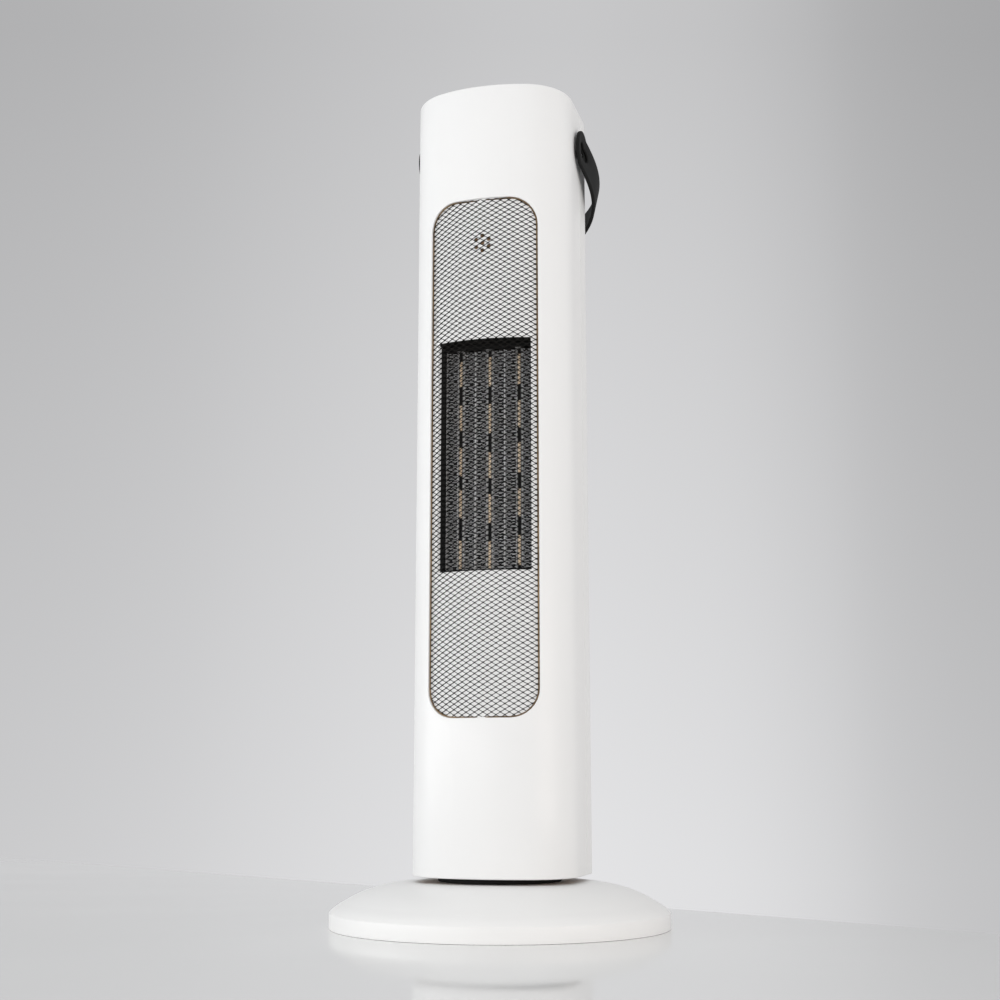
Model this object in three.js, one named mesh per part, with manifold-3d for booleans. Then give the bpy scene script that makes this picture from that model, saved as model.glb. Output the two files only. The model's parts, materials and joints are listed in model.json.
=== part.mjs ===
// A tower fan heater that swings on a round base. Millimetres, +Z up, the front faces -Y.
// The origin is on the floor, at the centre of the base, on the axis that the tower swings about.
import * as THREE from "three";
import { mergeVertices } from "three/addons/utils/BufferGeometryUtils.js";
import Module from "manifold-3d";

const wasm = await Module();
wasm.setup();

// Clearances
const restGap = 0.3; // between pieces that are fixed together
const runningGap = 0.4; // round pieces that turn or slide
const overrun = 5; // how far a cutting body runs past what it cuts
const weld = 0.001; // vertices closer than this are one

// Steps round curved outlines
const frontArcSteps = 5;
const frontCornerSteps = 6;
const rearCornerSteps = 4;
const rearArcSteps = 3;
const roundSteps = 16;
const baseSteps = 40;
const bearingSteps = 32;
const cornerSteps = 4;
const smallSteps = 8;
const filletSteps = 2;

// Tower outline, seen from above
const towerHalfWidth = 68.4;
const towerFrontDepth = 59; // from the swing axis to the front
const towerRearDepth = 66.8; // from the swing axis to the rear
const frontArcRadius = 126;
const rearArcRadius = 130;
const frontCornerRadius = 43.4;
const rearCornerRadius = 20.6;
const towerBottom = 41.3;
const towerTop = 702;
const shellWall = 2.6;
const bottomChamfer = 1.2;
const topFillet = 1.6;
const seamDepth = 17.5; // the side seam, behind the swing axis
const seamWidth = 0.6;

// Opening in the front shell, and the mesh in its rebate
const openingHalfWidth = 46.8;
const openingBottom = 166;
const openingDrop = 102; // from the tower's top to the opening
const openingTop = towerTop - openingDrop;
const openingCornerRadius = 23;
const rebateLip = 1.2; // the shell's thickness in front of the mesh
const rebateOverlap = 1.6; // the mesh's edge behind that lip
const meshThickness = 0.8;
const meshRim = 1.8;
const meshStrand = 2.6;
const meshCellWidth = 31;
const meshCellHeight = 19;
const meshSmallestGap = 6; // an edge gap smaller than this, in square millimetres, stays closed

// Inner panel with the heater window and the receiver holes
const panelInset = 3.5; // its front, behind the tower's outer surface
const panelWall = 2;
const panelOverlap = 5; // how far it runs past the opening
const windowHalfWidth = 41.6;
const windowShares = [0.272, 0.7196]; // of the opening's height, up to its bottom and to its top
const [windowBottom, windowTop] = windowShares.map(
  (share) => openingBottom + share * (openingTop - openingBottom),
);
const tunnelWall = 1.6;
const receiverDrop = 38.5; // from the opening's top
const receiverHoleHeight = openingTop - receiverDrop;
const receiverHoleSpacing = 6.5;
const receiverHoleRadius = 1.8;
const receiverRingCount = 6; // holes round the middle one
const receiverWidth = 14;
const receiverHeight = 19;
const receiverDepth = 7;

// Heating element
const ductFront = -18; // where the fan housing starts
const bezelFront = -36.5;
const bezelFrameDrop = 3; // the black band above and below the element
const elementHalfWidth = 38.1;
const elementFront = -31.9;
const elementDepth = 12;
const rowPitch = 25.4;
const rowWidth = 4.6;
const rowCount = 3;
const stonesPerRow = 5;
const stoneShare = 0.667; // of a row's length per stone
const stoneStep = 0.4; // how far a stone stands proud of its strip
const finFolds = 24;
const finThickness = 1.2; // measured across the column
const endFrameHeight = 2;
const endFrameReach = 0.8; // past the element's front
const cutoutWidth = 12;
const cutoutHeight = 8;
const cutoutX = 16;

// Fan, its housing and its motor
const wheelRadius = 27;
const wheelY = 17;
const wheelBelowWindow = 16;
const wheelAboveWindow = 10.7;
const wheelBottom = windowBottom - wheelBelowWindow;
const wheelTop = windowTop + wheelAboveWindow;
const wheelDisc = 2.4;
const bladeCount = 14;
const bladeWidth = 8.5;
const bladeThickness = 1.2;
const bladeTilt = THREE.MathUtils.degToRad(35);
const wheelHubRadius = 8;
const wheelHubHeight = 16;
const motorShaftRadius = 3;
const wheelPinRadius = 4;
const wheelPinLength = 12;
const housingWall = 1.8;
const housingPlate = 3;
const wheelEndGap = 3; // between the wheel's discs and the housing's plates
const housingBottom = wheelBottom - wheelEndGap - housingPlate;
const housingTop = wheelTop + wheelEndGap + housingPlate;
const housingRear = 50;
const scrollEndRadius = 31;
const scrollEndAngle = THREE.MathUtils.degToRad(112);
const scrollSteps = 6;
const tongueReach = 8;
const tongueHeight = 9;
const bushRadius = 9;
const bushFlangeRadius = 11.5;
const bushFlange = 2;
const bracketPlate = 3;
const bracketHalfWidth = 36;
const motorRadius = 29;
const motorHeight = 44;

// Rear intake with its grille and filter
const intakeHalfWidth = 40;
const intakeInset = 6; // shorter than the wheel at each end
const intakeBottom = wheelBottom + intakeInset;
const intakeTop = wheelTop - intakeInset;
const grilleInset = 0.4;
const grilleWall = 2;
const slotColumns = 11;
const slotRows = 2;
const slotWidth = 3.6;
const slotMargin = 7;
const tabHalfWidth = 7;
const tabReach = 4;
const filterThickness = 2;
const filterMargin = 5;

// Top cap, control board, buttons and display
const capThickness = 3;
const capRecess = 0.8; // below the shell's top edge
const buttonRadius = 7;
const buttonProud = 1; // above the cap
const buttonFlange = 1.4;
const buttonFlangeHeight = 3;
const buttonTravel = 0.8;
const buttonStemRadius = 2.4;
const buttonSpacing = 24;
const buttonY = 16;
const buttonNames = ["power", "heat", "timer", "swing"];
const lensHalfWidth = 24;
const lensHalfDepth = 9;
const lensY = -20;
const lensThickness = 1.6;
const boardThickness = 1.6;
const boardHalfWidth = 46;
const boardFrontY = -32;
const boardRearY = 40;
const boardPostRadius = 3.2;
const boardPostLength = 9;
const boardPostInset = 7;
const tactSwitchRadius = 3;
const tactSwitchHeight = 2;

// Strap handle and its pivots
const pivotY = 11.5;
const pivotDrop = 40.3; // from the tower's top
const pivotZ = towerTop - pivotDrop;
const pivotRadius = 4;
const pivotFlangeRadius = 7;
const pivotFlange = 3;
const strapWidth = 38;
const strapThickness = 3;
const strapSideGap = 2.2; // between the strap and the shell's side
const strapLength = 90; // from the pivots to the middle of the grip
const strapBow = 5.6; // how far the arms bow out
const strapCornerRadius = 57;
const strapRest = THREE.MathUtils.degToRad(-37); // below level, behind the tower
const strapArmSteps = 4;
const strapCornerSteps = 7;
const strapPocketLength = 19; // the pocket that each pivot sits in
const strapPocketWidth = 13;
const strapPocketBack = 0.8; // how far it stands out from the strap towards the shell
const strapPocketFloor = 1.2;
const strapPocketWall = 2.4;

// Rear power switch
const switchZ = 84;
const switchHalfWidth = 10;
const switchHalfHeight = 7;
const switchDepth = 18;
const switchWall = 1.4;
const rockerRadius = 5.2; // the room it turns in
const rockerProud = 1.6;
const rockerHalfHeight = 4.6;
const rockerFace = 4.2; // from its axis to the middle of its face
const rockerTip = THREE.MathUtils.degToRad(9); // either way from level

// Power board on the tower's floor
const powerBoardY = 30;
const powerBoardHalfWidth = 38;
const powerBoardHeight = 94;
const coilRadius = 9;
const coilHeight = 16;
const relayWidth = 18;
const relayHeight = 22;
const relayDepth = 14;

// Screws that hold the rear shell to posts in the front shell
const postX = 50;
const postZ = 104;
const postRadius = 4;
const postEnd = 40;
const screwRadius = 1.6;
const screwHeadRadius = 3;
const screwHead = 2.2;
const screwLength = 12;
const bossRadius = 5.4;
const bossFloor = 2.4;

// Tower floor and swing bearing
const floorThickness = 3;
const floorBottom = 43.2;
const spigotRadius = 22;
const spigotWall = 4;
const spigotBottom = 24;
const washerThickness = 1.6;
const washerWidth = 8;
const retainerWidth = 10;
const retainerThickness = 2.1;

// Swing gears
const gearModule = 1.25;
const gearTeeth = 60; // on a full turn of the sector's pitch circle
const pinionTeeth = 12;
const addendumShare = 0.8;
const dedendumShare = 1.1;
const toothBacklash = 0.28;
const pressureAngle = THREE.MathUtils.degToRad(20);
const flankSteps = 2;
const sectorHalfAngle = THREE.MathUtils.degToRad(52);
const sectorRimRadius = 31;
const gearBottom = 24.4;
const gearHeight = 6;
const pinionSpacingGap = 0.1;
const swingMotorRadius = 15;
const swingShaftRadius = 2.2;
const motorEarReach = 21;
const motorEarHalfWidth = 4;
const motorEarHeight = 2;

// Base
const baseRadius = 137.5;
const rimBottom = 1;
const rimEdgeChamfer = 1.2;
const rimTop = 13;
const shoulderWidth = 11;
const shoulderPullWidth = 4.5;
const shoulderTopRadius = baseRadius - shoulderWidth;
const shoulderTop = 21.2;
const shoulderPullRadius = baseRadius - shoulderPullWidth;
const shoulderPull = 18.2;
const domeTop = 37;
const domeTopRadius = 66;
const domePullShare = 0.628; // of the way from the dome's flat top to its shoulder
const domePullRadius = domeTopRadius + domePullShare * (shoulderTopRadius - domeTopRadius);
const domePull = 35.9;
const coverWall = 2.8;
const domeSteps = 4;
const shoulderSteps = 2;
const innerDomeSteps = 2;
const neckRadius = 50.4;
const neckWall = 7;
const plateBottom = 2.2;
const plateThickness = 2;
const ballastInset = 19.5; // from the rim
const ballastOuterRadius = baseRadius - ballastInset;
const ballastInnerRadius = 70; // the room for the swing gear inside it
const ballastThickness = 8;
const footRadius = 10;
const footInset = 15; // from the rim
const footCircleRadius = baseRadius - footInset;
const footPlugRadius = 3;
const footPlugHeight = 4;
const footCount = 4;
const baseScrewCount = 3;
const baseScrewCircle = 64;
const baseScrewHead = 1;
const baseBossRadius = 4.5;
const baseScrewDepth = 12;
const bushZ = 7.1;
const bushHoleRadius = 3.9;
const bushBoreRadius = 2.3;
const bushInnerFlangeRadius = 5;
const bushInnerFlange = 2.5;

// Tip-over switch
const tipX = -46;
const tipHalfWidth = 8;
const tipHeight = 17;
const tipRoof = 2;
const plungerRadius = 3;
const plungerFlangeRadius = 5;
const plungerFlange = 1.5;
const plungerFloorGap = 0.4;
const plungerLength = 15;
const plungerTravel = 4;

// Half circles and turns
const halfTurn = Math.PI;
const quarterTurn = Math.PI / 2;
const fullTurn = Math.PI * 2;

// Materials
const material = {
  white: new THREE.MeshStandardMaterial({ color: 0xf1f1ef, roughness: 0.42, metalness: 0 }),
  innerWhite: new THREE.MeshStandardMaterial({ color: 0xe9e7e2, roughness: 0.6, metalness: 0 }),
  black: new THREE.MeshStandardMaterial({ color: 0x1b1b1c, roughness: 0.5, metalness: 0 }),
  charcoal: new THREE.MeshStandardMaterial({ color: 0x333335, roughness: 0.7, metalness: 0 }),
  mesh: new THREE.MeshStandardMaterial({ color: 0x161311, roughness: 0.45, metalness: 0.6 }),
  rubber: new THREE.MeshStandardMaterial({ color: 0x202020, roughness: 0.9, metalness: 0 }),
  steel: new THREE.MeshStandardMaterial({ color: 0x9a9a9c, roughness: 0.4, metalness: 0.9 }),
  aluminium: new THREE.MeshStandardMaterial({ color: 0xb5b5b8, roughness: 0.35, metalness: 0.9 }),
  ceramic: new THREE.MeshStandardMaterial({ color: 0xb79b78, roughness: 0.85, metalness: 0 }),
  board: new THREE.MeshStandardMaterial({ color: 0x2f5a38, roughness: 0.5, metalness: 0 }),
  gear: new THREE.MeshStandardMaterial({ color: 0xe6e2d6, roughness: 0.5, metalness: 0 }),
  filter: new THREE.MeshStandardMaterial({ color: 0x4a4a4c, roughness: 0.95, metalness: 0 }),
  smoke: new THREE.MeshStandardMaterial({ color: 0x101214, roughness: 0.1, metalness: 0 }),
};

// Solids from geometry, and back
function toManifold(geometry) {
  const bare = geometry.clone();
  bare.deleteAttribute("normal");
  bare.deleteAttribute("uv");
  const merged = mergeVertices(bare, weld);
  const vertProperties = new Float32Array(merged.attributes.position.array);
  const triVerts = new Uint32Array(merged.index.array);
  return new wasm.Manifold(new wasm.Mesh({ numProp: 3, vertProperties, triVerts }));
}

function toGeometry(manifold) {
  const mesh = manifold.getMesh();
  const geometry = new THREE.BufferGeometry();
  geometry.setAttribute("position", new THREE.BufferAttribute(mesh.vertProperties, mesh.numProp));
  geometry.setIndex(new THREE.BufferAttribute(mesh.triVerts, 1));
  return geometry;
}

function cut(body, ...tools) {
  return toGeometry(tools.reduce((left, tool) => left.subtract(toManifold(tool)), toManifold(body)));
}

function join(first, ...others) {
  return toGeometry(others.reduce((sum, other) => sum.add(toManifold(other)), toManifold(first)));
}

function common(first, second) {
  return toGeometry(toManifold(first).intersect(toManifold(second)));
}

// Simple shapes
function block([x0, x1], [y0, y1], [z0, z1]) {
  const geometry = new THREE.BoxGeometry(x1 - x0, y1 - y0, z1 - z0);
  return geometry.translate((x0 + x1) / 2, (y0 + y1) / 2, (z0 + z1) / 2);
}

function postZAxis(x, y, radius, [z0, z1], steps = roundSteps) {
  const geometry = new THREE.CylinderGeometry(radius, radius, z1 - z0, steps);
  return geometry.rotateX(quarterTurn).translate(x, y, (z0 + z1) / 2);
}

function postYAxis(x, z, radius, [y0, y1], steps = roundSteps) {
  const geometry = new THREE.CylinderGeometry(radius, radius, y1 - y0, steps);
  return geometry.translate(x, (y0 + y1) / 2, z);
}

function postXAxis(y, z, radius, [x0, x1], steps = roundSteps) {
  const geometry = new THREE.CylinderGeometry(radius, radius, x1 - x0, steps);
  return geometry.rotateZ(quarterTurn).translate((x0 + x1) / 2, y, z);
}

function prism(shape, [z0, z1]) {
  return new THREE.ExtrudeGeometry(shape, { depth: z1 - z0, bevelEnabled: false }).translate(0, 0, z0);
}

// An outline drawn as across and up, run from a front depth to a rear depth.
function prismAlongY(shape, [y0, y1]) {
  const geometry = new THREE.ExtrudeGeometry(shape, { depth: y1 - y0, bevelEnabled: false });
  return geometry.rotateX(quarterTurn).translate(0, y1, 0);
}

// An outline drawn as depth and height, run from one side to the other.
function prismAlongX(shape, [x0, x1]) {
  const geometry = new THREE.ExtrudeGeometry(shape, { depth: x1 - x0, bevelEnabled: false });
  const turn = new THREE.Matrix4().makeBasis(
    new THREE.Vector3(0, 1, 0),
    new THREE.Vector3(0, 0, 1),
    new THREE.Vector3(1, 0, 0),
  );
  return geometry.applyMatrix4(turn).translate(x0, 0, 0);
}

function tubeZAxis(x, y, outerRadius, innerRadius, [z0, z1], steps = roundSteps) {
  const outline = new THREE.Shape(arcPoints(x, y, outerRadius, 0, fullTurn, steps).slice(0, -1));
  outline.holes.push(new THREE.Path(arcPoints(x, y, innerRadius, 0, fullTurn, steps).slice(0, -1)));
  return prism(outline, [z0, z1]);
}

function lathe(profile, steps = baseSteps) {
  return new THREE.LatheGeometry(profile, steps).rotateX(quarterTurn);
}

function arcPoints(x, y, radius, from, to, steps) {
  const points = [];
  for (let i = 0; i <= steps; i += 1) {
    const angle = from + ((to - from) * i) / steps;
    points.push(new THREE.Vector2(x + radius * Math.cos(angle), y + radius * Math.sin(angle)));
  }
  return points;
}

function roundedRectangle(halfWidth, [low, high], radius, steps = cornerSteps) {
  const x = halfWidth - radius;
  return [
    ...arcPoints(x, low + radius, radius, -quarterTurn, 0, steps),
    ...arcPoints(x, high - radius, radius, 0, quarterTurn, steps),
    ...arcPoints(-x, high - radius, radius, quarterTurn, halfTurn, steps),
    ...arcPoints(-x, low + radius, radius, halfTurn, halfTurn + quarterTurn, steps),
  ];
}

// Tower outline: a wide arc at the front and one at the rear, joined by rounded corners.
const frontCentreY = frontArcRadius - towerFrontDepth;
const frontCornerX = towerHalfWidth - frontCornerRadius;
const frontCornerY = frontCentreY - Math.sqrt((frontArcRadius - frontCornerRadius) ** 2 - frontCornerX ** 2);
const frontJoin = Math.atan2(frontCornerY - frontCentreY, frontCornerX);
const rearCentreY = towerRearDepth - rearArcRadius;
const rearCornerX = towerHalfWidth - rearCornerRadius;
const rearCornerY = rearCentreY + Math.sqrt((rearArcRadius - rearCornerRadius) ** 2 - rearCornerX ** 2);
const rearJoin = Math.atan2(rearCornerY - rearCentreY, rearCornerX);

function towerOutline(inset) {
  const frontRadius = frontArcRadius - inset;
  const rearRadius = rearArcRadius - inset;
  const frontTurn = frontCornerRadius - inset;
  const rearTurn = rearCornerRadius - inset;
  const right = [
    ...arcPoints(0, frontCentreY, frontRadius, -quarterTurn, frontJoin, frontArcSteps),
    ...arcPoints(frontCornerX, frontCornerY, frontTurn, frontJoin, 0, frontCornerSteps).slice(1),
    ...arcPoints(rearCornerX, rearCornerY, rearTurn, 0, rearJoin, rearCornerSteps),
    ...arcPoints(0, rearCentreY, rearRadius, rearJoin, quarterTurn, rearArcSteps).slice(1),
  ];
  const left = right.slice(1, -1).reverse().map((point) => new THREE.Vector2(-point.x, point.y));
  return [...right, ...left];
}

function frontSurface(x, inset) {
  const side = Math.abs(x);
  if (side <= (frontArcRadius - inset) * Math.cos(frontJoin)) {
    return frontCentreY - Math.sqrt((frontArcRadius - inset) ** 2 - x ** 2);
  }
  return frontCornerY - Math.sqrt((frontCornerRadius - inset) ** 2 - (side - frontCornerX) ** 2);
}

function rearSurface(x, inset) {
  return rearCentreY + Math.sqrt((rearArcRadius - inset) ** 2 - x ** 2);
}

// A closed solid through the tower outline at several heights, each with its inset.
function stack(levels) {
  const rings = levels.map(([z, inset]) => towerOutline(inset).map((point) => [point.x, point.y, z]));
  const count = rings[0].length;
  const index = [];
  for (let k = 0; k < rings.length - 1; k += 1) {
    for (let i = 0; i < count; i += 1) {
      const a = k * count + i;
      const b = k * count + ((i + 1) % count);
      index.push(a, b, b + count, a, b + count, a + count);
    }
  }
  const top = (rings.length - 1) * count;
  const cap = (inset) => THREE.ShapeUtils.triangulateShape(towerOutline(inset), []);
  cap(levels[0][1]).forEach(([a, b, c]) => index.push(c, b, a));
  cap(levels[levels.length - 1][1]).forEach(([a, b, c]) => index.push(top + a, top + b, top + c));
  const geometry = new THREE.BufferGeometry();
  geometry.setAttribute("position", new THREE.Float32BufferAttribute(rings.flat(2), 3));
  return geometry.setIndex(index);
}

// The curved skin between two insets of the tower, within a height range.
function skin(outerInset, innerInset, [z0, z1]) {
  const outer = stack([[z0, outerInset], [z1, outerInset]]);
  const inner = stack([[z0 - overrun, innerInset], [z1 + overrun, innerInset]]);
  return cut(outer, inner);
}

// Shells
const reach = towerHalfWidth + towerRearDepth; // runs past the tower in any direction
const meshHalfWidth = openingHalfWidth + rebateOverlap;
const meshSpan = [openingBottom - rebateOverlap, openingTop + rebateOverlap];
const wheelTopPin = wheelTop + wheelPinLength;
const capTop = towerTop - capRecess;
const capBottom = capTop - capThickness;
const sidePin = towerHalfWidth + strapSideGap - strapPocketBack + strapPocketFloor;
const switchRear = towerRearDepth - restGap;

function shellBody() {
  const filletLevels = [];
  for (let i = 0; i <= filletSteps; i += 1) {
    const angle = (quarterTurn * i) / filletSteps;
    const z = towerTop - topFillet + topFillet * Math.sin(angle);
    filletLevels.push([z, topFillet * (1 - Math.cos(angle))]);
  }
  const outer = stack([[towerBottom, bottomChamfer], [towerBottom + bottomChamfer, 0], ...filletLevels]);
  const inner = stack([[towerBottom - overrun, shellWall], [towerTop + overrun, shellWall]]);
  return cut(outer, inner);
}

function openingShape(grow) {
  const span = [openingBottom - grow, openingTop + grow];
  return new THREE.Shape(roundedRectangle(openingHalfWidth + grow, span, openingCornerRadius + grow));
}

function frontShell() {
  const rearHalf = block([-reach, reach], [seamDepth - seamWidth / 2, reach], [0, towerTop + overrun]);
  const opening = prismAlongY(openingShape(0), [-reach, 0]);
  const rebate = common(
    prismAlongY(openingShape(rebateOverlap + restGap), [-reach, 0]),
    stack([[towerBottom, rebateLip], [towerTop, rebateLip]]),
  );
  const pivotHole = postXAxis(pivotY, pivotZ, pivotRadius + restGap, [-reach, reach]);
  const shell = cut(shellBody(), rearHalf, opening, rebate, pivotHole);
  const posts = [-postX, postX].map((x) =>
    postYAxis(x, postZ, postRadius, [frontSurface(x, shellWall / 2), postEnd]),
  );
  const pilots = [-postX, postX].map((x) =>
    postYAxis(x, postZ, screwRadius + restGap, [postEnd - screwLength, postEnd + overrun]),
  );
  return cut(join(shell, ...posts), ...pilots);
}

function rearShell() {
  const frontHalf = block([-reach, reach], [-reach, seamDepth + seamWidth / 2], [0, towerTop + overrun]);
  const intake = block([-intakeHalfWidth, intakeHalfWidth], [0, reach], [intakeBottom, intakeTop]);
  const switchHole = block(
    [-switchHalfWidth, switchHalfWidth],
    [0, reach],
    [switchZ - switchHalfHeight, switchZ + switchHalfHeight],
  );
  const bossFront = postEnd + restGap;
  const headSeat = bossFront + bossFloor;
  const bosses = [-postX, postX].map((x) =>
    postYAxis(x, postZ, bossRadius, [bossFront, rearSurface(x, shellWall / 2)]),
  );
  const wells = [-postX, postX].flatMap((x) => [
    postYAxis(x, postZ, screwHeadRadius + restGap, [headSeat, reach]),
    postYAxis(x, postZ, screwRadius + restGap, [0, reach]),
  ]);
  const shell = cut(shellBody(), frontHalf, intake, switchHole);
  return cut(join(shell, ...bosses), ...wells);
}

function shellScrew(x) {
  const headFront = postEnd + restGap + bossFloor + restGap;
  return join(
    postYAxis(x, postZ, screwHeadRadius, [headFront, headFront + screwHead]),
    postYAxis(x, postZ, screwRadius, [headFront - screwLength + restGap, headFront + screwHead / 2]),
  );
}

// Mesh grille: a curved sheet with a net of staggered diamond gaps, cut to the rim's outline
function clip(points, outline) {
  let kept = points;
  outline.forEach((from, i) => {
    const to = outline[(i + 1) % outline.length];
    const side = (p) => (to.x - from.x) * (p.y - from.y) - (to.y - from.y) * (p.x - from.x);
    const next = [];
    kept.forEach((p, k) => {
      const q = kept[(k + 1) % kept.length];
      const [a, b] = [side(p), side(q)];
      if (a >= 0) next.push(p);
      if (a * b < 0) next.push(p.clone().lerp(q, a / (a - b)));
    });
    kept = next;
  });
  return kept;
}

function meshGaps() {
  const rim = [openingBottom + meshRim, openingTop - meshRim];
  const outline = roundedRectangle(openingHalfWidth - meshRim, rim, openingCornerRadius - meshRim);
  const [halfWidth, halfHeight] = [meshCellWidth / 2, meshCellHeight / 2];
  const edgeDistance = (halfWidth * halfHeight) / Math.hypot(halfWidth, halfHeight);
  const share = 1 - meshStrand / 2 / edgeDistance;
  const middle = (openingBottom + openingTop) / 2;
  const columns = Math.ceil(openingHalfWidth / halfWidth);
  const rows = Math.ceil((openingTop - openingBottom) / 2 / halfHeight);
  const gaps = [];
  for (let i = -columns; i <= columns; i += 1) {
    for (let k = -rows; k <= rows; k += 1) {
      if ((i + k) % 2 !== 0) continue;
      const centre = new THREE.Vector2(i * halfWidth, middle + k * halfHeight);
      const diamond = [[share, 0], [0, share], [-share, 0], [0, -share]].map(
        ([a, b]) => new THREE.Vector2(centre.x + a * halfWidth, centre.y + b * halfHeight),
      );
      const gap = clip(diamond, outline);
      if (gap.length > 2 && THREE.ShapeUtils.area(gap) > meshSmallestGap) gaps.push(gap);
    }
  }
  return gaps;
}

function meshGrille() {
  const inset = rebateLip + restGap;
  const halfCell = meshCellWidth / 2;
  const folds = Math.floor(meshHalfWidth / halfCell);
  const across = [-meshHalfWidth];
  for (let i = -folds; i <= folds; i += 1) across.push(i * halfCell);
  across.push(meshHalfWidth);
  const front = across.map((x) => new THREE.Vector2(x, frontSurface(x, inset)));
  const back = across.map((x) => new THREE.Vector2(x, frontSurface(x, inset + meshThickness))).reverse();
  const sheet = prism(new THREE.Shape([...front, ...back]), meshSpan);
  const edge = roundedRectangle(meshHalfWidth, meshSpan, openingCornerRadius + rebateOverlap);
  const outline = prismAlongY(new THREE.Shape(edge), [-reach, 0]);
  const gaps = meshGaps().map((gap) => new THREE.Shape(gap));
  return cut(common(sheet, outline), prismAlongY(gaps, [-reach, 0]));
}

// Inner panel with a tunnel round the heater window
const panelHalfWidth = openingHalfWidth + panelOverlap;
const panelBack = panelInset + panelWall;

function receiverHoles() {
  const spots = [[0, 0]];
  for (let i = 0; i < receiverRingCount; i += 1) {
    const angle = ((i + 1 / 2) * fullTurn) / receiverRingCount;
    spots.push([receiverHoleSpacing * Math.cos(angle), receiverHoleSpacing * Math.sin(angle)]);
  }
  return spots.map(([x, z]) =>
    postYAxis(x, receiverHoleHeight + z, receiverHoleRadius, [-reach, 0], smallSteps),
  );
}

function innerPanel() {
  const span = [openingBottom - panelOverlap, openingTop + panelOverlap];
  const frontOnly = block([-panelHalfWidth, panelHalfWidth], [-reach, seamDepth], span);
  const panel = common(skin(panelInset, panelBack, span), frontOnly);
  const outerHalf = windowHalfWidth + tunnelWall;
  const tunnel = common(
    block(
      [-outerHalf, outerHalf],
      [-reach, ductFront - restGap],
      [windowBottom - tunnelWall, windowTop + tunnelWall],
    ),
    stack([[towerBottom, panelInset], [towerTop, panelInset]]),
  );
  const window = block([-windowHalfWidth, windowHalfWidth], [-reach, 0], [windowBottom, windowTop]);
  return cut(join(panel, tunnel), window, ...receiverHoles());
}

function irReceiver() {
  const front = frontSurface(receiverWidth / 2, panelBack) + restGap;
  return block(
    [-receiverWidth / 2, receiverWidth / 2],
    [front, front + receiverDepth],
    [receiverHoleHeight - receiverHeight / 2, receiverHoleHeight + receiverHeight / 2],
  );
}

// Heating element: rows of ceramic stones between columns of folded fins, held by two end frames
const elementSpan = [windowBottom + bezelFrameDrop + restGap, windowTop - bezelFrameDrop - restGap];
const elementRear = elementFront + elementDepth;

function windowBezel() {
  const outer = windowHalfWidth - restGap;
  const inner = elementHalfWidth + restGap;
  const span = [windowBottom + restGap, windowTop - restGap];
  const y = [bezelFront, ductFront - restGap];
  const ledge = [span[0] + bezelFrameDrop - endFrameHeight, span[1] - bezelFrameDrop + endFrameHeight];
  return cut(
    block([-outer, outer], y, span),
    block([-inner, inner], [elementFront - endFrameReach - restGap, reach], ledge),
    block([-inner, inner], [-reach, reach], elementSpan),
  );
}

function endFrame([z0, z1]) {
  const y = [elementFront - endFrameReach, elementRear];
  return block([-elementHalfWidth, elementHalfWidth], y, [z0, z1]);
}

function ceramicRow(index) {
  const x = (index - (rowCount - 1) / 2) * rowPitch;
  const half = rowWidth / 2;
  const [low, high] = [elementSpan[0] + restGap, elementSpan[1] - restGap];
  const strip = block([x - half, x + half], [elementFront + stoneStep, elementRear - stoneStep], [low, high]);
  const pitch = (high - low) / stonesPerRow;
  const stones = [];
  for (let i = 0; i < stonesPerRow; i += 1) {
    const middle = low + pitch * (i + 1 / 2);
    const z = [middle - (pitch * stoneShare) / 2, middle + (pitch * stoneShare) / 2];
    stones.push(block([x - half, x + half], [elementFront, elementRear], z));
  }
  return join(strip, ...stones);
}

function finColumn(index) {
  const row = Math.floor(index / 2);
  const side = index % 2 === 0 ? -1 : 1;
  const rowX = (row - (rowCount - 1) / 2) * rowPitch;
  const near = rowX + side * (rowWidth / 2 + restGap);
  const far = rowX + side * (rowPitch / 2 - restGap / 2);
  const middle = (near + far) / 2;
  const half = (Math.abs(far - near) - finThickness) / 2;
  const [low, high] = [elementSpan[0] + finThickness, elementSpan[1] - finThickness];
  const path = [];
  for (let i = 0; i <= finFolds; i += 1) {
    path.push(new THREE.Vector2(middle + (i % 2 === 0 ? -half : half), low + ((high - low) * i) / finFolds));
  }
  return prismAlongY(ribbon(path, finThickness), [elementFront, elementRear]);
}

function thermalCutout() {
  const bottom = windowTop + tunnelWall + restGap;
  return block(
    [cutoutX - cutoutWidth / 2, cutoutX + cutoutWidth / 2],
    [elementFront, elementFront + cutoutWidth],
    [bottom, bottom + cutoutHeight],
  );
}

// Fan housing: two plates, a scroll wall on one side and a tongue on the other
const housingHalfWidth = windowHalfWidth + tunnelWall;

function housingPlateAt([z0, z1], holeRadius) {
  const plate = block([-housingHalfWidth, housingHalfWidth], [ductFront, housingRear], [z0, z1]);
  return cut(plate, postZAxis(0, wheelY, holeRadius, [z0 - overrun, z1 + overrun]));
}

function scrollWall() {
  const startRadius = housingHalfWidth - housingWall;
  const inner = [];
  const outer = [];
  for (let i = 0; i <= scrollSteps; i += 1) {
    const share = i / scrollSteps;
    const angle = halfTurn + (scrollEndAngle - halfTurn) * share;
    const radius = startRadius + (scrollEndRadius - startRadius) * share;
    const [cos, sin] = [Math.cos(angle), Math.sin(angle)];
    inner.push(new THREE.Vector2(radius * cos, wheelY + radius * sin));
    outer.push(new THREE.Vector2((radius + housingWall) * cos, wheelY + (radius + housingWall) * sin));
  }
  const front = [new THREE.Vector2(-housingHalfWidth, ductFront), new THREE.Vector2(-startRadius, ductFront)];
  return new THREE.Shape([...front, ...inner, ...outer.reverse()]);
}

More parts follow.
